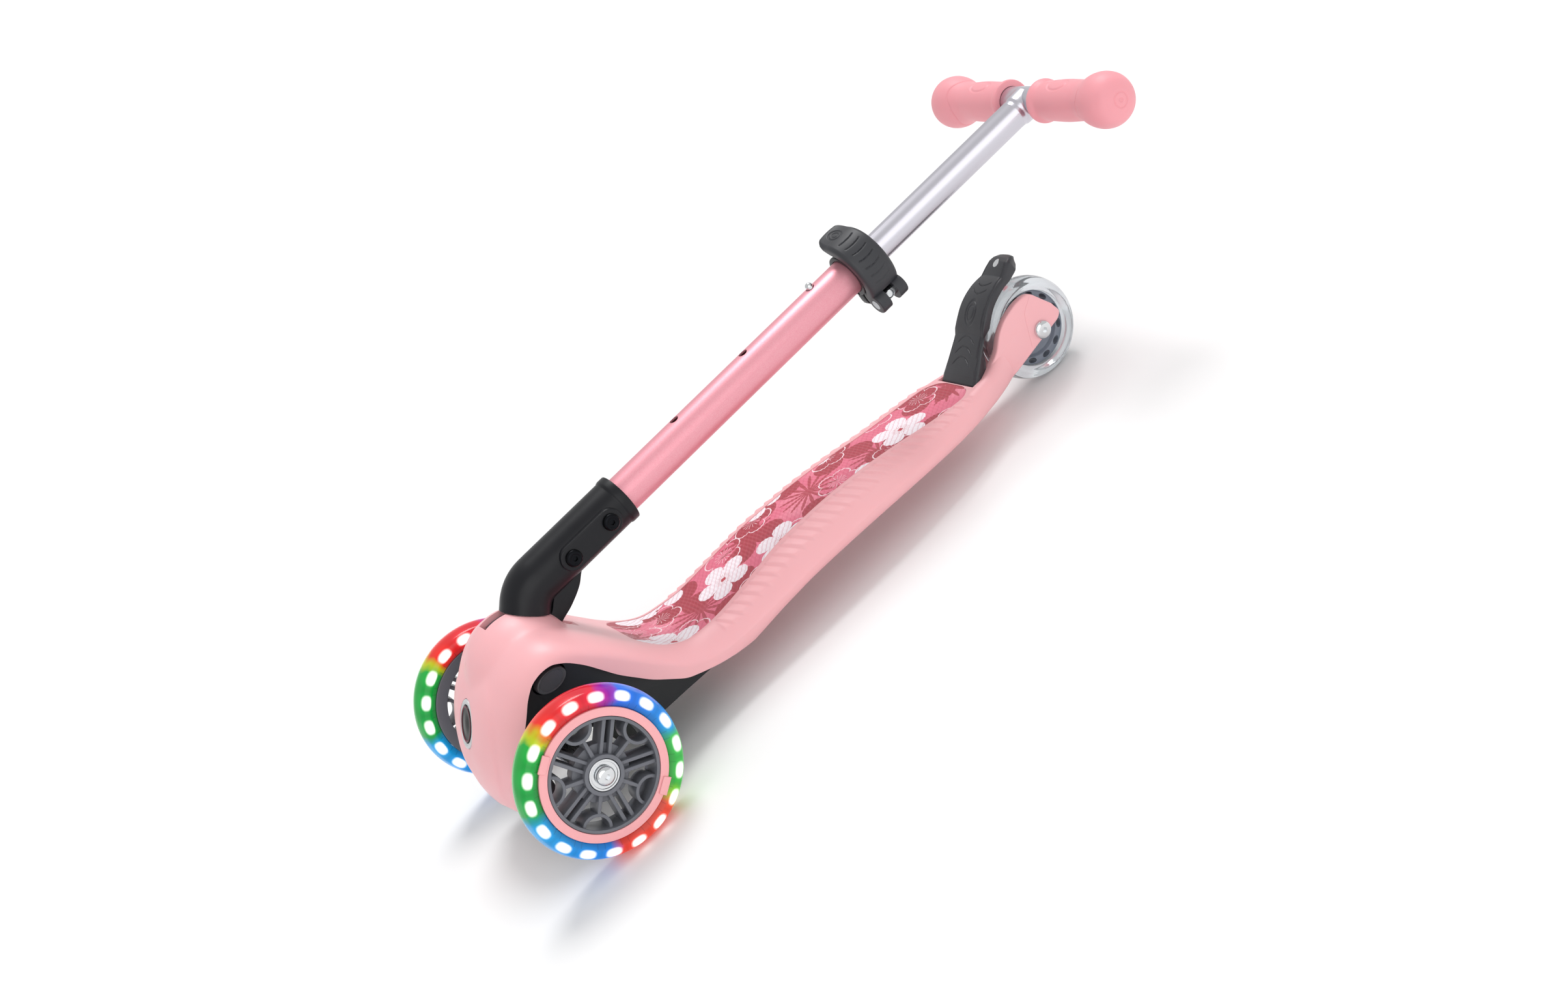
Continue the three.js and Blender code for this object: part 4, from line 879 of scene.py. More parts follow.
# Cast polyurethane lit from inside: strong colour between soft white lamp spots, wet gloss.
lit_tyre, tree, shader, place = finish_named("translucent_polyurethane_lit_from_inside")
shader.inputs["Roughness"].default_value = 0.18
shader.inputs["Specular IOR Level"].default_value = 0.35
LAMPS, LAMP_RADIUS = 18, 53.6
hub_offset = add(
    tree, "ShaderNodeVectorMath", {0: place, 1: (0, FRONT_AXLE_Y, WHEEL_Z * MM)}, operation="SUBTRACT")
spot = add(tree, "ShaderNodeSeparateXYZ", {"Vector": hub_offset.outputs[0]})
around = add(tree, "ShaderNodeMath", (spot.outputs[2], spot.outputs[1]), operation="ARCTAN2").outputs[0]
flat_spot = add(tree, "ShaderNodeVectorMath", {0: hub_offset.outputs[0], 1: (0, 1, 1)}, operation="MULTIPLY")
radius = add(tree, "ShaderNodeVectorMath", {0: flat_spot.outputs[0]}, operation="LENGTH").outputs["Value"]
wobble = add(tree, "ShaderNodeTexNoise", {"Vector": place, "Scale": 90.0, "Detail": 1.0})
share = add(
    tree, "ShaderNodeMath",
    (
        add(
            tree, "ShaderNodeMath",
            (
                add(
                    tree, "ShaderNodeMath",
                    (add(tree, "ShaderNodeMath", (around, 2 * math.pi), operation="DIVIDE"), 1.0),
                    operation="ADD"),
                add(
                    tree, "ShaderNodeMath",
                    (
                        add(tree, "ShaderNodeMath", (wobble.outputs["Fac"], 0.5), operation="SUBTRACT"),
                        0.035),
                    operation="MULTIPLY")),
            operation="ADD"),),
    operation="FRACT").outputs[0]
sectors = add(tree, "ShaderNodeValToRGB", {"Fac": share})
# Start of each colour in degrees round the wheel from straight behind its axle.
SECTORS = [
    (0, "#1C8FE0"), (44, "#1F6BE8"), (52, "#A21BB0"), (62, "#E8213A"), (104, "#EE2B1C"),
    (112, "#C9D40A"), (118, "#13A83A"), (166, "#0FA043"), (174, "#109FDD"), (238, "#0F7FE0"),
    (248, "#E93A28"), (292, "#EE4A30"), (302, "#8FCF1E"), (310, "#2FB53A"), (346, "#3FBE55"),
    (354, "#1C9BE4")]
ramp = sectors.color_ramp
while len(ramp.elements) < len(SECTORS):
    ramp.elements.new(0.5)
for element, (degrees, colour) in zip(ramp.elements, SECTORS):
    element.position = degrees / 360
for element, (degrees, colour) in zip(ramp.elements, SECTORS):
    element.color = linear(colour)
along = add(
    tree, "ShaderNodeMath",
    (
        add(
            tree, "ShaderNodeMath",
            (
                add(
                    tree, "ShaderNodeMath",
                    (
                        add(
                            tree, "ShaderNodeMath",
                            (
                                add(tree, "ShaderNodeMath", (around, 2 * math.pi), operation="DIVIDE"),
                                LAMPS),
                            operation="MULTIPLY"),
                        0.5),
                    operation="ADD"),),
            operation="FRACT"),
        0.5),
    operation="SUBTRACT").outputs[0]
along_mm = add(
    tree, "ShaderNodeMath", (along, 2 * math.pi * 53.2 * MM / LAMPS), operation="MULTIPLY").outputs[0]


def lamp_spot(half_length_mm, half_width_mm, at_radius_mm, low, high):
    """A soft oval centred on each light."""
    a = add(
        tree, "ShaderNodeMath",
        (
            add(
                tree, "ShaderNodeMath",
                (add(tree, "ShaderNodeMath", (along_mm, half_length_mm * MM), operation="DIVIDE"),),
                operation="ABSOLUTE"),
            2.6),
        operation="POWER").outputs[0]
    b = add(
        tree, "ShaderNodeMath",
        (
            add(
                tree, "ShaderNodeMath",
                (
                    add(
                        tree, "ShaderNodeMath",
                        (
                            add(
                                tree, "ShaderNodeMath", (radius, at_radius_mm * MM),
                                operation="SUBTRACT"),
                            half_width_mm * MM),
                        operation="DIVIDE"),),
                operation="ABSOLUTE"),
            2.6),
        operation="POWER").outputs[0]
    return add(
        tree, "ShaderNodeMapRange",
        {
            "Value": add(tree, "ShaderNodeMath", (a, b), operation="ADD").outputs[0], "From Min": low,
            "From Max": high, "To Min": 1.0, "To Max": 0.0},
        interpolation_type="SMOOTHSTEP").outputs[0]


core = lamp_spot(5.6, 3.3, LAMP_RADIUS, 0.15, 1.6)
halo = lamp_spot(8.0, 5.5, 53.4, 0.0, 1.6)
inner = add(tree, "ShaderNodeMapRange", {"Value": radius, "From Min": 46.6 * MM, "From Max": 51.5 * MM,
                                         "To Min": 0.55, "To Max": 1.0}).outputs[0]
box_edge = add(
    tree, "ShaderNodeMath",
    (
        add(
            tree, "ShaderNodeMath",
            (
                add(
                    tree, "ShaderNodeMath",
                    (
                        add(
                            tree, "ShaderNodeMath",
                            (add(tree, "ShaderNodeMath", (along_mm,), operation="ABSOLUTE"), 6.4 * MM),
                            operation="SUBTRACT"),),
                    operation="ABSOLUTE"),
                0.35 * MM),
            operation="LESS_THAN"),
        add(tree, "ShaderNodeMath", (radius, 50.2 * MM), operation="LESS_THAN")),
    operation="MULTIPLY").outputs[0]
strength = add(
    tree, "ShaderNodeMath",
    (
        add(
            tree, "ShaderNodeMath",
            (
                add(
                    tree, "ShaderNodeMath",
                    (add(tree, "ShaderNodeMath", (halo, 0.25), operation="MULTIPLY"), 0.6),
                    operation="ADD"),
                inner),
            operation="MULTIPLY"),
        add(
            tree, "ShaderNodeMath",
            (1.0, add(tree, "ShaderNodeMath", (box_edge, 0.35), operation="MULTIPLY")),
            operation="SUBTRACT")),
    operation="MULTIPLY").outputs[0]
glow = add(tree, "ShaderNodeMix", {"Factor": core, "A": sectors.outputs[0], "B": linear("#FFFDF6")},
           data_type="RGBA")
deep_tint = add(tree, "ShaderNodeMix", {"Factor": 0.72, "A": sectors.outputs[0], "B": linear("#101418")},
                data_type="RGBA")
tree.links.new(deep_tint.outputs[2], shader.inputs["Base Color"])
tree.links.new(glow.outputs[2], shader.inputs["Emission Color"])
tree.links.new(
    add(
        tree, "ShaderNodeMath",
        (strength, add(tree, "ShaderNodeMath", (core, 0.75), operation="MULTIPLY")), operation="ADD").outputs[0],
    shader.inputs["Emission Strength"])

# Milky polycarbonate: pale and softly glossy.
diffuser = moulded_plastic("milky_light_diffuser", "#E9EDF0", "#DDE2E6", 0.3, 0.8, 0.01)[0]


def other_side(piece, name):
    """The same moulding for the other side of the scooter."""
    mesh = piece.data.copy()
    mesh.transform(Matrix.Scale(-1, 4, (1, 0, 0)))
    mesh.flip_normals()
    twin = bpy.data.objects.new(name, mesh)
    bpy.context.scene.collection.objects.link(twin)
    return twin


def tab(degrees):
    turn = math.radians(degrees)
    corners = [(41.6, -6), (47.2, -6.4), (47.2, 6.4), (41.6, 6)]
    outline = [(a * math.cos(turn) - b * math.sin(turn), WHEEL_Z + a * math.sin(turn) + b * math.cos(turn))
               for a, b in corners]
    return slab("tab", outline, HALF_TRACK + 10.3, HALF_TRACK + 11.9, bevel=0.4)


SHIELDED = [(3, 4.2), (3, 11), (9.7, 11, 0.2), (10, 10.7, 0.1), (10, 9.5), (9.3, 9.3), (9.3, 6.3), (10, 6.1),
            (10, 4.2)]
snap = turned("snap_cover", eased([(6.8, 39.9), (6.8, 45.9), (10.6, 45.9, 0.5), (10.6, 39.9, 0.5)], 0.3), 144,
              (HALF_TRACK, 0, WHEEL_Z))
for degrees in (127, -53):
    combine(snap, tab(degrees), "UNION")
wheel_pieces = [
    ("tyre", turned("lit_tyre", TYRE, 192, (HALF_TRACK, 0, WHEEL_Z)), "tyre_clear", lit_tyre),
    (
        "led_ring",
        turned(
            "light_ring", eased([(-5, 46.4), (-5, 50), (5, 50), (5, 46.4)], 0.5), 96,
            (HALF_TRACK, 0, WHEEL_Z)),
        "light_ring", diffuser),
    ("snap_ring", snap, "body_pink", ring_pink), ("hub_core", hub_parts, "hub_grey", hub_nylon),
    (
        "bearing_outer", turned("bearing_out", eased(SHIELDED, 0.1), 96, (HALF_TRACK, 0, WHEEL_Z)),
        "chrome", chrome),
    (
        "bearing_inner",
        turned("bearing_in", [(-a, r) for a, r in eased(SHIELDED, 0.1)], 96, (HALF_TRACK, 0, WHEEL_Z)),
        "chrome", chrome)]
for node, piece, slot, material in wheel_pieces:
    twin = other_side(piece, piece.name + "_right")
    fit(piece, "front_wheel_left", slot, material, node + "_left")
    fit(twin, "front_wheel_right", slot, material, node + "_right")

# ---------------------------------------------------------------------------------------------
# Rear wheel. A clear polyurethane tyre cast on a smoky grey core with small windows, running
# on two bearings between spacers. A domed bolt and nut hold it in the fork.
# ---------------------------------------------------------------------------------------------
REAR = (0, REAR_AXLE_Y, REAR_AXLE_Z)
rear_tyre = turned(
    "clear_tyre",
    eased(
        [
            (-9.5, 29, 0.4), (-12, 33, 2), (-8.8, 38.2, 3), (0, 40, 6), (8.8, 38.2, 3), (12, 33, 2),
            (9.5, 29, 0.4)],
        2, 8),
    160, REAR)
# Clear urethane: bright edges and a slight haze where it was cast.
clear_urethane, tree, shader, place = finish_named("clear_cast_polyurethane")
shader.inputs["Base Color"].default_value = linear("#E3E8EC")
shader.inputs["Transmission Weight"].default_value = 0.9
shader.inputs["IOR"].default_value = 1.47
ripple = add(tree, "ShaderNodeTexNoise", {"Vector": place, "Scale": 120.0, "Detail": 2.0})
haze = add(tree, "ShaderNodeMapRange", {"Value": ripple.outputs["Fac"], "To Min": 0.03, "To Max": 0.14})
tree.links.new(haze.outputs[0], shader.inputs["Roughness"])
fit(rear_tyre, "rear_wheel", "tyre_clear", clear_urethane, "rear_tyre")
CORE = [
    (-7, 11.3), (-7, 14), (-3, 16), (-3, 21), (-6, 23), (-6, 28.7), (6, 28.7), (6, 23), (3, 21),
    (3, 16), (7, 14), (7, 11.3), (2.4, 11.3), (2.4, 7), (-2.4, 7), (-2.4, 11.3)]
rear_core = turned("rear_core_moulding", eased(CORE, 0.8), 120, REAR)
for k in range(12):
    y, z = polar(25.4, k * 30, REAR_AXLE_Y, REAR_AXLE_Z)
    wide, tall = polar(1, k * 30, 0, 0)
    window = [
        (
            y + 2.1 * math.cos(a) * wide - 3.6 * math.sin(a) * tall,
            z + 2.1 * math.cos(a) * tall + 3.6 * math.sin(a) * wide)
        for a in np.linspace(0, 2 * math.pi, 25)[:-1]]
    combine(rear_core, slab("window", window, -9, 9))
# Smoky translucent nylon: blue grey, a little light passing through.
smoky = moulded_plastic("smoky_translucent_nylon", "#7D8694", "#88919E", 0.22, 0.8, 0.01)
smoky[2].inputs["Transmission Weight"].default_value = 0.25
fit(rear_core, "rear_wheel", "hub_grey", smoky[0], "rear_core")
for side, word in ((1, "left"), (-1, "right")):
    bearing = turned(
        "rear_bearing_shield_" + word, eased([(a - 0.2, r) for a, r in [p[:2] for p in SHIELDED]], 0.1),
        96, REAR, side=side)
    fit(bearing, "rear_wheel", "chrome", chrome, "rear_bearing_" + word)
    spacer = turned(
        "spacer_tube_" + word, eased([(10.1, 4.2), (10.1, 6.2), (13.5, 6.2), (13.5, 4.2)], 0.2), 64,
        REAR, side=side)
    fit(spacer, "deck", "steel", zinc_steel, "rear_spacer_" + word)
HEAD = [(21.8, 3.9), (21.8, 7.2, 0.2), (22.6, 7.2, 0.2), (24.2, 6.6, 1.2), (25.3, 4.9, 1.2), (25.6, 2.6, 0.6),
        (25.6, 0, 0)]
bolt_low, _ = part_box("rear_axle_bolt")
rear_bolt = socket_screw(
    "rear_bolt", REAR, 1, eased([(bolt_low.x / MM, 0, 0), (bolt_low.x / MM, 3.9)] + HEAD, 0.3), 2.3,
    2.2)
fit(rear_bolt, "deck", "chrome", chrome, "rear_axle_bolt")
finish_node("rear_axle_nut", chrome)

# ---------------------------------------------------------------------------------------------
# Brake. A black nylon pedal curved over the rear wheel, hinged on a pin at the deck's end. It
# has a groove round its face, cross grooves for the shoe, a plain oval and a steel rivet.
# ---------------------------------------------------------------------------------------------
PEDAL_TOP = [(404.6, 42.5), (406, 44.6), (410, 48.8), (418, 55.2), (427, 62.6)]
PEDAL_TOP += [polar(51.8, a, REAR_AXLE_Y, REAR_AXLE_Z) for a in np.linspace(147, 93, 40)]
PEDAL_TOP += [(481, 95), (486, 97.4), (490, 98), (494, 97.2), (496.6, 95)]
PEDAL_UNDER = [
    (404.9, 38), (405.6, 35.6), (410, 32.2), (416, 33.5), (421, 38), (428, 47), (430.5, 55),
    (433, 62.5)]
PEDAL_UNDER += [polar(43.4, a, REAR_AXLE_Y, REAR_AXLE_Z) for a in np.linspace(142, 89, 40)]
PEDAL_UNDER += [(487, 84.8), (491, 85.8), (494, 87.4), (496.4, 90), (497, 92.4)]
# Half widths by place along the deck. The underside is narrower where it drops between the arms.
PEDAL_HALF = [
    (404, 24.2), (410, 23.6), (418, 22.2), (427, 20.8), (440, 19.8), (452, 19), (466, 17.4),
    (480, 14.6), (488, 12.6), (493, 9.8), (495.6, 7), (497.2, 3.6)]
UNDER_HALF = [
    (404, 24), (414.4, 22.3), (421, 18.4), (426, 15.2), (430.5, 14.6), (433, 16.4), (448, 18),
    (466, 16.6), (480, 14), (490, 11), (494.6, 7.4), (497, 3.4)]


def walked(points, count):
    """The same line cut into even steps."""
    points = np.array(points, float)
    lengths = np.concatenate([[0], np.cumsum(np.linalg.norm(np.diff(points, axis=0), axis=1))])
    places = np.linspace(0, lengths[-1], count)
    return np.stack([np.interp(places, lengths, points[:, k]) for k in (0, 1)], axis=1)


def groove(distance, half_width, depth):
    """A round-bottomed groove: its depth at a distance from its middle."""
    return depth * max(0.0, 1 - (distance / half_width) ** 2)


def pedal_relief(x, length, half):
    """Depth of the pedal's grooves at a place across and along its face."""
    edge = groove(half - abs(x) - 2.9, 0.8, 0.8) * step(10, 14, length) * (1 - step(98, 101, length))
    cross = max(groove(length - at - 0.05 * x * x * bow, 0.7, 0.8) for at, bow in (
        (22, -1), (30, -1), (38, -1), (71, 1), (78, 1)))
    cross *= 1 - step(half * 0.45, half * 0.55, abs(x))
    reach = math.hypot(x / 6.4, (length - 56) / 9.5)
    return max(edge, cross, groove((reach - 1) * 6, 0.9, 0.8), groove((reach - 0.6) * 6, 0.7, 0.6))


STATIONS = 260
tops, unders = walked(PEDAL_TOP, STATIONS), walked(PEDAL_UNDER, STATIONS)
pedal_length = float(np.sum(np.linalg.norm(np.diff(tops, axis=0), axis=1)))
rings = []
for i, (top, under) in enumerate(zip(tops, unders)):
    length = pedal_length * i / (STATIONS - 1)
    half = float(np.interp(top[0], *zip(*PEDAL_HALF)))
    up = (top - under) / np.linalg.norm(top - under)
    ring = []
    for x in np.linspace(-0.86, 0.86, 61) * half:
        crown_drop = 1.2 * (x / half) ** 2
        y, z = top - up * (crown_drop + pedal_relief(x, length, half))
        ring.append((x, y, z))
    shoulder = [(0.93, 1.5), (0.98, 2.4), (1.0, 3.6)]
    thick = float(np.linalg.norm(top - under))
    for share, drop in shoulder:
        y, z = top - up * min(drop, 0.45 * thick)
        ring.append((share * half, y, z))
    y, z = under
    low_half = float(np.interp(y, *zip(*UNDER_HALF)))
    lower = [(share * low_half, *(under + up * lift)) for share, lift in (
        (0.97, 0.5), (0.9, 0), (0, 0), (-0.9, 0), (-0.97, 0.5))]
    ring += lower
    for share, drop in reversed(shoulder):
        y, z = top - up * min(drop, 0.45 * thick)
        ring.append((-share * half, y, z))
    rings.append(ring)
pedal = shape_mesh("brake_pedal", *loft(rings), sharp=50)
combine(pedal, bore(3.1, -40, 40, BRAKE_Y, BRAKE_Z))
# Nylon with a fine grain: dark grey with a broad, weak highlight.
pedal_nylon = moulded_plastic("fine_grained_nylon_black", "#2A2B2F", "#303136", 0.45, 0.35, 0.03)[0]
fit(pedal, "brake", "black_plastic", pedal_nylon, "brake_lever")
rivet_low, rivet_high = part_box("brake_rivet")
rivet = turned(
    "rivet_dome",
    eased(
        [
            (-1, 0, 0), (-1, 2.4), (0, 2.4, 0), (0, 4.6, 0.2), (0.7, 4.5, 0.4), (1.8, 3.2, 0.8),
            (2.3, 1.5, 0.6), (2.4, 0, 0)],
        0.2),
    64, axis="z")
rivet_base = (rivet_low + rivet_high) / 2
rivet.data.transform(Matrix.Translation(rivet_base) @ Matrix.Rotation(0.322, 4, "X")
                     @ Matrix.Translation((0, -FRONT_AXLE_Y, -0.0006)))
fit(rivet, "brake", "chrome", chrome, "brake_rivet")

# ---------------------------------------------------------------------------------------------
# Fold knuckle. A black nylon elbow with a mouth that slides round the dome, a fin in the dome's
# slot, and a sleeve that takes the column. Two bolts through a raised side pad clamp the tube.
# ---------------------------------------------------------------------------------------------
COLUMN_Y, COLUMN_Z, COLUMN_LEAN = 145.6, 153.9, math.radians(3.2)
column_frame = (Matrix.Translation((0, COLUMN_Y * MM + FRONT_AXLE_Y, COLUMN_Z * MM))
                @ Matrix.Rotation(COLUMN_LEAN, 4, "X") @ Matrix.Translation((0, -FRONT_AXLE_Y, 0)))


def lean(piece):
    """Carries a piece drawn along the column (y along, z outward) to its place on the scooter."""
    piece.data.transform(column_frame)
    return piece


def column_point(s, n):
    return np.array((COLUMN_Y + s * math.cos(COLUMN_LEAN) - n * math.sin(COLUMN_LEAN),
                     COLUMN_Z + s * math.sin(COLUMN_LEAN) + n * math.cos(COLUMN_LEAN)))


def tube_along(name, profile, sides=128):
    return lean(turned(name, profile, sides, axis="y"))


ELBOW_ANGLE = 48.3
bend_start, bend_corner = column_point(-82, 0), column_point(-82 - 26 * math.tan(math.radians(22.5)), 0)
mouth_top, mouth_low = np.array(polar(39.6, ELBOW_ANGLE)), np.array(polar(30, ELBOW_ANGLE))
path = [column_point(s, 0) for s in np.linspace(-4, -80, 20)]
path += [
    (1 - t) ** 2 * bend_start + 2 * t * (1 - t) * bend_corner + t * t * mouth_top
    for t in np.linspace(0, 1, 40)]
path += [mouth_low]
rings = []
for i, centre in enumerate(path):
    ahead = path[min(i + 1, len(path) - 1)] - path[max(i - 1, 0)]
    ahead = ahead / np.linalg.norm(ahead)
    side_way = np.array((-ahead[1], ahead[0]))
    radius_here = 18.0
    rings.append([(radius_here * math.cos(2 * math.pi * k / 96),
                   *(centre + side_way * radius_here * math.sin(2 * math.pi * k / 96))) for k in range(96)])
knuckle = shape_mesh("knuckle_elbow", *loft(rings))
combine(knuckle, tube_along("knuckle_collar", eased([(-8, 10), (-8, 17.6, 0), (-6, 18.8, 1.5), (0, 18.8, 0.9),
                                                     (0, 10)], 0.5)), "UNION")
PAD_HALF_WIDTH = 20.3
pad = [(-21 + 9.4 * math.cos(a), 9.4 * math.sin(a)) for a in np.linspace(-math.pi / 2, math.pi / 2, 24)]
pad += [(-57 + 9.4 * math.cos(a), 9.4 * math.sin(a)) for a in np.linspace(math.pi / 2, 3 * math.pi / 2, 24)]
combine(knuckle, lean(slab("bolt_pad", pad, -PAD_HALF_WIDTH, PAD_HALF_WIDTH, bevel=0.9)), "UNION")
dome_room = turned(
    "dome_room", [(39.4 * math.cos(a), 39.4 * math.sin(a)) for a in np.linspace(math.pi, 0, 60)], 128,
    (0, FOLD_Y, FOLD_Z))
combine(knuckle, dome_room)
ARM_FIN = [
    (19.5, 122.5), polar(38.5, 20.5), (62, 131), (78, 145), (96, 147, 3), (96, 137), (90, 133),
    (84.5, 127), (78.6, 123), (69, 118), (60.3, 115.2), (50, 110.5), (38, 105.6), (19.5, 98.5)]
combine(knuckle, slab("knuckle_fin", eased(ARM_FIN, 4), -5.6, 5.6, bevel=1.0), "UNION")
combine(knuckle, turned("pivot_eye", eased([(-5.6, 0, 0), (-5.6, 15), (5.6, 15), (5.6, 0, 0)], 0.8), 64,
                        (0, FOLD_Y, FOLD_Z)), "UNION")
combine(knuckle, bore(4.15, -30, 30, FOLD_Y, FOLD_Z))
combine(knuckle, tube_along("tube_bore", [(-67, 0), (-67, 14.3), (8, 14.3), (8, 0)]))
for s in (-21, -57):
    y, z = column_point(s, 0)
    combine(knuckle, bore(3.15, -30, 30, y, z))
# Spark-grained nylon: the blackest piece, with a long soft highlight round the elbow.
knuckle_nylon, tree, shader, place = moulded_plastic(
    "spark_grained_nylon_black", "#0B0C11", "#101117", 0.36, 0.45, 0.05)
shader.inputs["Specular IOR Level"].default_value = 0.3
fit(knuckle, "column", "black_plastic", knuckle_nylon, "fold_knuckle")
for s, word in ((-21, "upper"), (-57, "lower")):
    y, z = column_point(s, 0)
    low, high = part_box("sleeve_bolt_" + word)
    screw = socket_screw(
        "sleeve_screw_" + word, (0, y, z), 1,
        eased(
            [
                (low.x / MM, 0, 0), (low.x / MM, 2.9), (20.7, 2.9, 0), (20.7, 6.2, 0.3),
                (22.4, 6.1, 0.5), (23.6, 5, 0.8), (23.7, 3.6, 0.3), (23.4, 3.2, 0.1), (23.4, 0, 0)],
            0.3),
        2.0, 1.6)
    fit(screw, "column", "black_bolt", black_oxide, "sleeve_bolt_" + word)
    finish_node("sleeve_nut_" + word, black_oxide)
sweep = [polar(SHUTTER_RADIUS, a) for a in np.linspace(27.5, 97, 60)]
sweep += [polar(SHUTTER_RADIUS - 4.5, a) for a in np.linspace(97, 27.5, 60)]
shutter_low, shutter_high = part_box("slot_shutter")
shutter = slab("slot_cover", sweep, shutter_low.x / MM, shutter_high.x / MM, bevel=0.5)
# Acetal cover: smooth dark blue grey.
shutter_grey = moulded_plastic("acetal_cover_dark_grey", "#33383E", "#3A4046", 0.34, 0.5, 0.02)[0]
fit(shutter, "column", "black_plastic", shutter_grey, "slot_shutter")

# ---------------------------------------------------------------------------------------------
# Lower tube. Aluminium tube in metallic rose lacquer, held in the knuckle's sleeve, with three
# height holes on top and a black bush in its mouth that guides the bar's stem.
# ---------------------------------------------------------------------------------------------
lower_tube = tube_along("column_tube", eased([(-66, 12.7), (-66, 14), (250, 14), (250, 12.7)], 0.4), 160)
for s in (204.4, 134.4, 64.4):
    hole = turned("height_hole", [(0, 0), (0, 3.6), (20, 3.6), (20, 0)], 48, (0, s, 0), axis="z")
    combine(lower_tube, lean(hole))
for s in (-21, -57):
    y, z = column_point(s, 0)
    combine(lower_tube, bore(3.15, -30, 30, y, z))
# Metallic lacquer: rose with fine flakes, so its highlight is wide and pale.
lacquer, tree, shader, place = finish_named("metallic_rose_lacquer_on_aluminium")
shader.inputs["Metallic"].default_value = 0.6
shader.inputs["Roughness"].default_value = 0.42
flake = add(tree, "ShaderNodeTexVoronoi", {"Vector": place, "Scale": 1000 / 0.35})
flake_hue = add(tree, "ShaderNodeSeparateColor", {"Color": flake.outputs["Color"]})
lacquer_tint = add(
    tree, "ShaderNodeMix",
    {
        "Factor": add(
            tree, "ShaderNodeMath", (flake_hue.outputs[0], 0.5), operation="MULTIPLY").outputs[0],
        "A": linear("#E697A4"), "B": linear("#EDB6BE")},
    data_type="RGBA")
tree.links.new(lacquer_tint.outputs[2], shader.inputs["Base Color"])
fit(lower_tube, "column", "tube_pink", lacquer, "lower_tube")
bush = tube_along("guide_bush", eased([(218, 11.4), (218, 12.4), (250.3, 12.4, 0), (250.3, 13.8), (252, 13.8),
                                       (252, 11.4)], 0.3))
fit(bush, "column", "black_plastic", black_nylon, "tube_bush")

# ---------------------------------------------------------------------------------------------
# Quick-release clamp. A split black collar round the tube's end with two ears, a cross bolt
# through them and a lever that wraps half round the tube.
# ---------------------------------------------------------------------------------------------
collar = tube_along("clamp_band", eased([(232, 14.25), (232, 17.6), (256, 17.6), (256, 11.6), (252.3, 11.6),
                                         (252.3, 14.25)], 0.7), 128)
for low, high in ((1.2, 9), (-9, -1.2)):
    ear = [(234.2, -31), (253.8, -31), (253.8, -14.9), (234.2, -14.9)]
    combine(collar, lean(slab("ear", eased(ear, 6), low, high, bevel=0.6)), "UNION")
combine(collar, lean(slab("split", [(220, -40), (270, -40), (270, -8), (220, -8)], -1.2, 1.2)))
y, z = column_point(244, -24.5)
combine(collar, bore(3.15, -30, 30, y, z))
fit(collar, "column", "black_plastic", black_nylon, "clamp_collar")
finish_node("clamp_bolt", chrome)

LEVER_HALF = 13.5


def arc(centre, radius, start, end, count):
    return [(centre[0] + radius * math.cos(math.radians(a)), centre[1] + radius * math.sin(math.radians(a)))
            for a in np.linspace(start, end, count)]


def curve(points, count):
    """A smooth line through a start, a pull and an end."""
    a, b, c = (np.array(p, float) for p in points)
    return [tuple((1 - t) ** 2 * a + 2 * t * (1 - t) * b + t * t * c) for t in np.linspace(0, 1, count)]


# The lever's outer face as (x, n), then its inner face, both from the pivot to the free tip.
OUTER = (arc((0, 0), 29, -58, 88, 110) + curve([(1, 29), (-5, 29.6), (-9, 31.2)], 20)
    + arc((-10.6, 28.2), 3.4, 80, 180, 14))
INNER = (arc((0, 0), 20.4, -50, 84, 110) + curve([(2.1, 20.3), (-4, 22), (-9.4, 25.3)], 20)
    + arc((-10.6, 28.2), 3.4, 262, 190, 14))
outer_walk, inner_walk = walked(OUTER, 240), walked(INNER, 240)
lever_length = float(np.sum(np.linalg.norm(np.diff(outer_walk, axis=0), axis=1)))
rings = []
for i, (outside, inside) in enumerate(zip(outer_walk, inner_walk)):
    length = lever_length * i / 239
    out = (outside - inside) / np.linalg.norm(outside - inside)
    thick = float(np.linalg.norm(outside - inside))
    from_tip = max(0.0, 12 - (lever_length - length)) / 12
    taper = (LEVER_HALF * (1 - 0.1 * step(lever_length - 40, lever_length, length))
        * math.sqrt(1 - 0.93 * from_tip ** 2))
    ring = []
    for s in np.linspace(-0.8, 0.8, 49) * taper:
        cut = max(groove(length - at - 0.02 * s * s, 0.7, 0.8) for at in (20, 27, 34, 41, 48, 55, 62))
        cut *= 1 - step(0.5 * taper, 0.56 * taper, abs(s))
        reach = math.hypot(s / 4.8, (length - lever_length + 15) / 6)
        cut = max(cut, groove((reach - 1) * 5, 0.8, 0.7), groove((reach - 0.5) * 5, 0.7, 0.6))
        x, n = outside - out * (cut + 0.9 * (s / taper) ** 2)
        ring.append((x, 244 + s, n))
    for share, drop in ((0.9, 1.3), (0.96, 2.2), (0.99, 3.4), (1.0, 4.6)):
        x, n = outside - out * min(drop, 0.5 * thick)
        ring.append((x, 244 + share * taper, n))
    for share in (0.97, 0.9, 0, -0.9, -0.97):
        x, n = inside + out * (0.5 if abs(share) > 0.95 else 0)
        ring.append((x, 244 + share * taper, n))
    for share, drop in ((1.0, 4.6), (0.99, 3.4), (0.96, 2.2), (0.9, 1.3)):
        x, n = outside - out * min(drop, 0.5 * thick)
        ring.append((x, 244 - share * taper, n))
    rings.append(ring)
lever = shape_mesh("release_lever", *loft(rings), sharp=50)
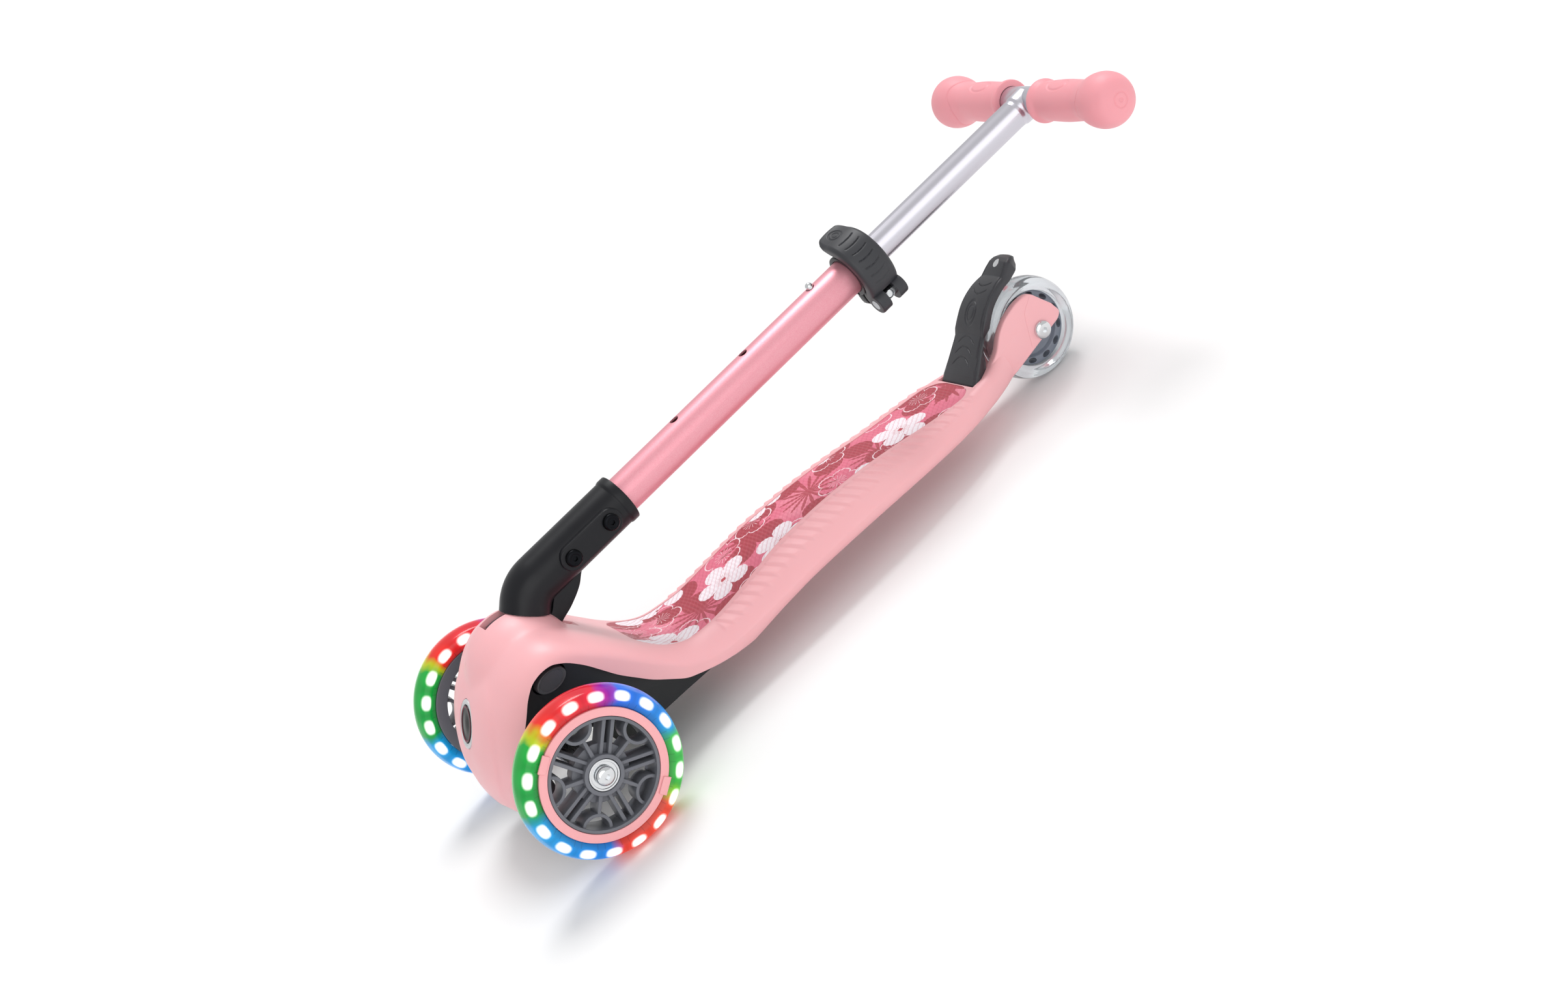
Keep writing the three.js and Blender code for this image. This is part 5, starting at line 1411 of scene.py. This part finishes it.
pivot_eye = turned(
    "lever_eye",
    eased(
        [
            (-LEVER_HALF + 0.4, 0, 0), (-LEVER_HALF + 0.4, 8.2), (LEVER_HALF - 0.4, 8.2),
            (LEVER_HALF - 0.4, 0, 0)],
        1.6),
    72, (18, 244, -24.5), axis="y")
combine(lever, pivot_eye, "UNION", 50)
notch = eased([(5, 239.6), (40, 239.6), (40, 248.4), (5, 248.4)], 2)
combine(lever, slab("notch", notch, -40, -17.5, "z"), sharp=50)
combine(
    lever,
    turned("lever_bore", [(200, 0), (200, 4.15), (280, 4.15), (280, 0)], 40, (18, 0, -24.5), axis="y"),
    sharp=50)
lean(lever)
fit(lever, "quick_lever", "black_plastic", pedal_nylon, "clamp_lever")

# ---------------------------------------------------------------------------------------------
# T-bar. A satin anodised aluminium stem with a crossbar welded over its top, and the chrome
# spring ball that snaps through the tube's height holes.
# ---------------------------------------------------------------------------------------------
STEM_RADIUS, BAR_S, BAR_HALF = 11.1, 431, 112
stem = tube_along(
    "stem_tube", eased([(183, 9.8), (183, STEM_RADIUS), (431, STEM_RADIUS), (431, 9.8)], 0.3), 160)
weld_bead = [(414, 10.2), (414, 11.2), (417.5, 11.3), (419.6, 12.3, 1), (431, 12.6), (431, 10.2)]
combine(stem, tube_along("weld_bead", eased(weld_bead, 0.8), 96), "UNION")
saddle = lean(turned("saddle", [(-60, 0), (-60, STEM_RADIUS + 0.05), (60, STEM_RADIUS + 0.05), (60, 0)], 128,
                     (0, BAR_S, 0)))
combine(stem, saddle)
hole = turned("ball_hole", [(0, 0), (0, 3.3), (20, 3.3), (20, 0)], 48, (0, 204.4, 0), axis="z")
combine(stem, lean(hole))
# Satin anodised aluminium: drawn along the tube, so its light runs in long soft bands.
anodised = metal("satin_anodised_aluminium", "#CDCBD3", 0.3, (2500, 25, 2500), 0.02)
fit(stem, "t_bar", "stem_silver", anodised, "t_bar_stem")
crossbar = lean(
    turned(
        "crossbar_tube",
        eased(
            [(-BAR_HALF, 9.8), (-BAR_HALF, STEM_RADIUS), (BAR_HALF, STEM_RADIUS), (BAR_HALF, 9.8)], 0.3),
        128, (0, BAR_S, 0)))
fit(
    crossbar, "t_bar", "stem_silver",
    metal("satin_anodised_crossbar", "#CDCBD3", 0.3, (25, 2500, 2500), 0.02), "crossbar")
ball_low, ball_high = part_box("height_button")
ball = [(8.6, 0, 0), (8.6, 4.1), (9.4, 4.1, 0.2), (9.5, 3, 0)] + [
    (15.2 + 3 * math.sin(a), 3 * math.cos(a), 0) for a in np.linspace(0, math.pi / 2, 16)]
ball = lean(turned("spring_ball", eased(ball, 0.1), 64, (0, 204.4, 0), axis="z"))
fit(ball, "spring_button", "chrome", chrome, "height_button")

# ---------------------------------------------------------------------------------------------
# Grips. Soft pink thermoplastic rubber pushed on the crossbar: a thin inner flange, a waisted
# hand part and a bulb that covers the bar's end, with shallow ovals and waves moulded in.
# ---------------------------------------------------------------------------------------------
GRIP_SKIN = eased(
    [
        (21, 14.6, 0), (21.6, 16.2, 0.5), (23.4, 16.5, 0.8), (25.4, 16.1, 1), (28.4, 14.4, 2),
        (40, 15, 6), (55, 15.6, 8), (77, 14.6, 4), (84, 16.4, 4), (91, 19.3, 4), (99, 20.6, 5),
        (107, 19.6, 5), (113.6, 15.8, 4), (117, 9.5, 3), (117.6, 0.2, 0)],
    2, 6)
grip_walk = walked(GRIP_SKIN, 320)


def grip_relief(x, turn_degrees):
    """Depth of the lines moulded into the hand part and bulb at a place along and round them."""
    top = (turn_degrees + 180) % 360 - 180
    oval = groove((math.hypot((x - 52) / 11, (top - 90 if top > 0 else top + 90) / 22) - 1) * 6, 0.9, 0.6)
    wave = groove(abs(top) - 32 - 14 * math.sin((x - 34) / 38 * 2 * math.pi), 3.2, 0.6) * step(32, 36, x)
    wave *= 1 - step(74, 78, x)
    rim = groove(x - 85.5 - 2.2 * math.cos(math.radians(3 * turn_degrees)), 0.8, 0.6)
    return max(oval, wave, rim)


# Thermoplastic rubber: soft, almost matt, and light bleeds a little under its skin.
grip_rubber, tree, shader, place = moulded_plastic(
    "soft_thermoplastic_rubber_pink", "#EFA2AA", "#EB99A2", 0.5, 0.8, 0.03)
shader.inputs["Subsurface Weight"].default_value = 0.15
shader.inputs["Subsurface Radius"].default_value = (0.9, 0.35, 0.3)
shader.inputs["Subsurface Scale"].default_value = 0.003
for side, word in ((1, "left"), (-1, "right")):
    rings = []
    for x, radius_here in grip_walk:
        ring = []
        for k in range(144):
            turn = 2 * math.pi * k / 144
            reach = radius_here - (grip_relief(x, math.degrees(turn)) if 28 < x < 92 else 0)
            if x > 117.2:
                end = 0.5 * groove(radius_here - 5.5, 0.7, 1) + 0.5 * groove(radius_here - 1.2, 0.8, 1)
                ring.append((side * (x - end), BAR_S + reach * math.cos(turn), reach * math.sin(turn)))
            else:
                ring.append((side * x, BAR_S + reach * math.cos(turn), reach * math.sin(turn)))
        rings.append(ring)
    grip = shape_mesh("hand_grip_" + word, *loft(rings), sharp=60)
    combine(
        grip,
        turned(
            "bar_room", [(10, 0), (10, 11.4), (112.4, 11.4), (112.4, 0)], 96, (0, BAR_S, 0), side=side),
        sharp=60)
    fit(lean(grip), "t_bar", "grip_pink", grip_rubber, "grip_" + word)

# ---------------------------------------------------------------------------------------------
# Studio. A pale seamless floor under an even white sky, one large soft light from behind the
# bar and a weak fill from the front.
# ---------------------------------------------------------------------------------------------
floor_mesh = bpy.data.meshes.new("studio_floor")
floor_mesh.from_pydata([(-45, -45, 0), (45, -45, 0), (45, 45, 0), (-45, 45, 0)], [], [(0, 1, 2, 3)])
studio_floor = bpy.data.objects.new("studio_floor", floor_mesh)
bpy.context.scene.collection.objects.link(studio_floor)
# Matt white background paper.
paper, tree, shader, place = finish_named("white_studio_paper")
shader.inputs["Base Color"].default_value = linear("#F4F4F4")
shader.inputs["Roughness"].default_value = 0.9
shader.inputs["Specular IOR Level"].default_value = 0.1
floor_mesh.materials.append(paper)


def soft_sun(name, toward, strength, spread):
    """A large, distant soft light that shines along a direction."""
    lamp = bpy.data.lights.new(name, "SUN")
    lamp.energy, lamp.angle = strength, math.radians(spread)
    light = bpy.data.objects.new(name, lamp)
    light.rotation_euler = Vector(toward).to_track_quat("-Z", "Y").to_euler()
    bpy.context.scene.collection.objects.link(light)
    return light


key = soft_sun("key_light", (0.5, -0.75, -1.5), 1.45, 24)
fill = soft_sun("fill_light", (-1.3, 0.3, -0.45), 0.85, 60)
world = bpy.data.worlds.new("studio")
world.use_nodes = True
backdrop = world.node_tree.nodes["Background"]
backdrop.inputs["Color"].default_value = linear("#FFFFFF")
backdrop.inputs["Strength"].default_value = 0.72
bpy.context.scene.world = world
bpy.context.scene.view_settings.view_transform = "Standard"

lens = bpy.data.cameras.new("camera")
lens.lens, lens.sensor_width = 48.99, 36.0
camera = bpy.data.objects.new("camera", lens)
camera.matrix_world = Matrix((
    (0.45640, -0.15294, 0.87653, 1.36069), (0.71828, 0.64473, -0.26151, -0.42990),
    (-0.52513, 0.74895, 0.40411, 0.69899), (0, 0, 0, 1)))
bpy.context.scene.collection.objects.link(camera)
bpy.context.scene.camera = camera
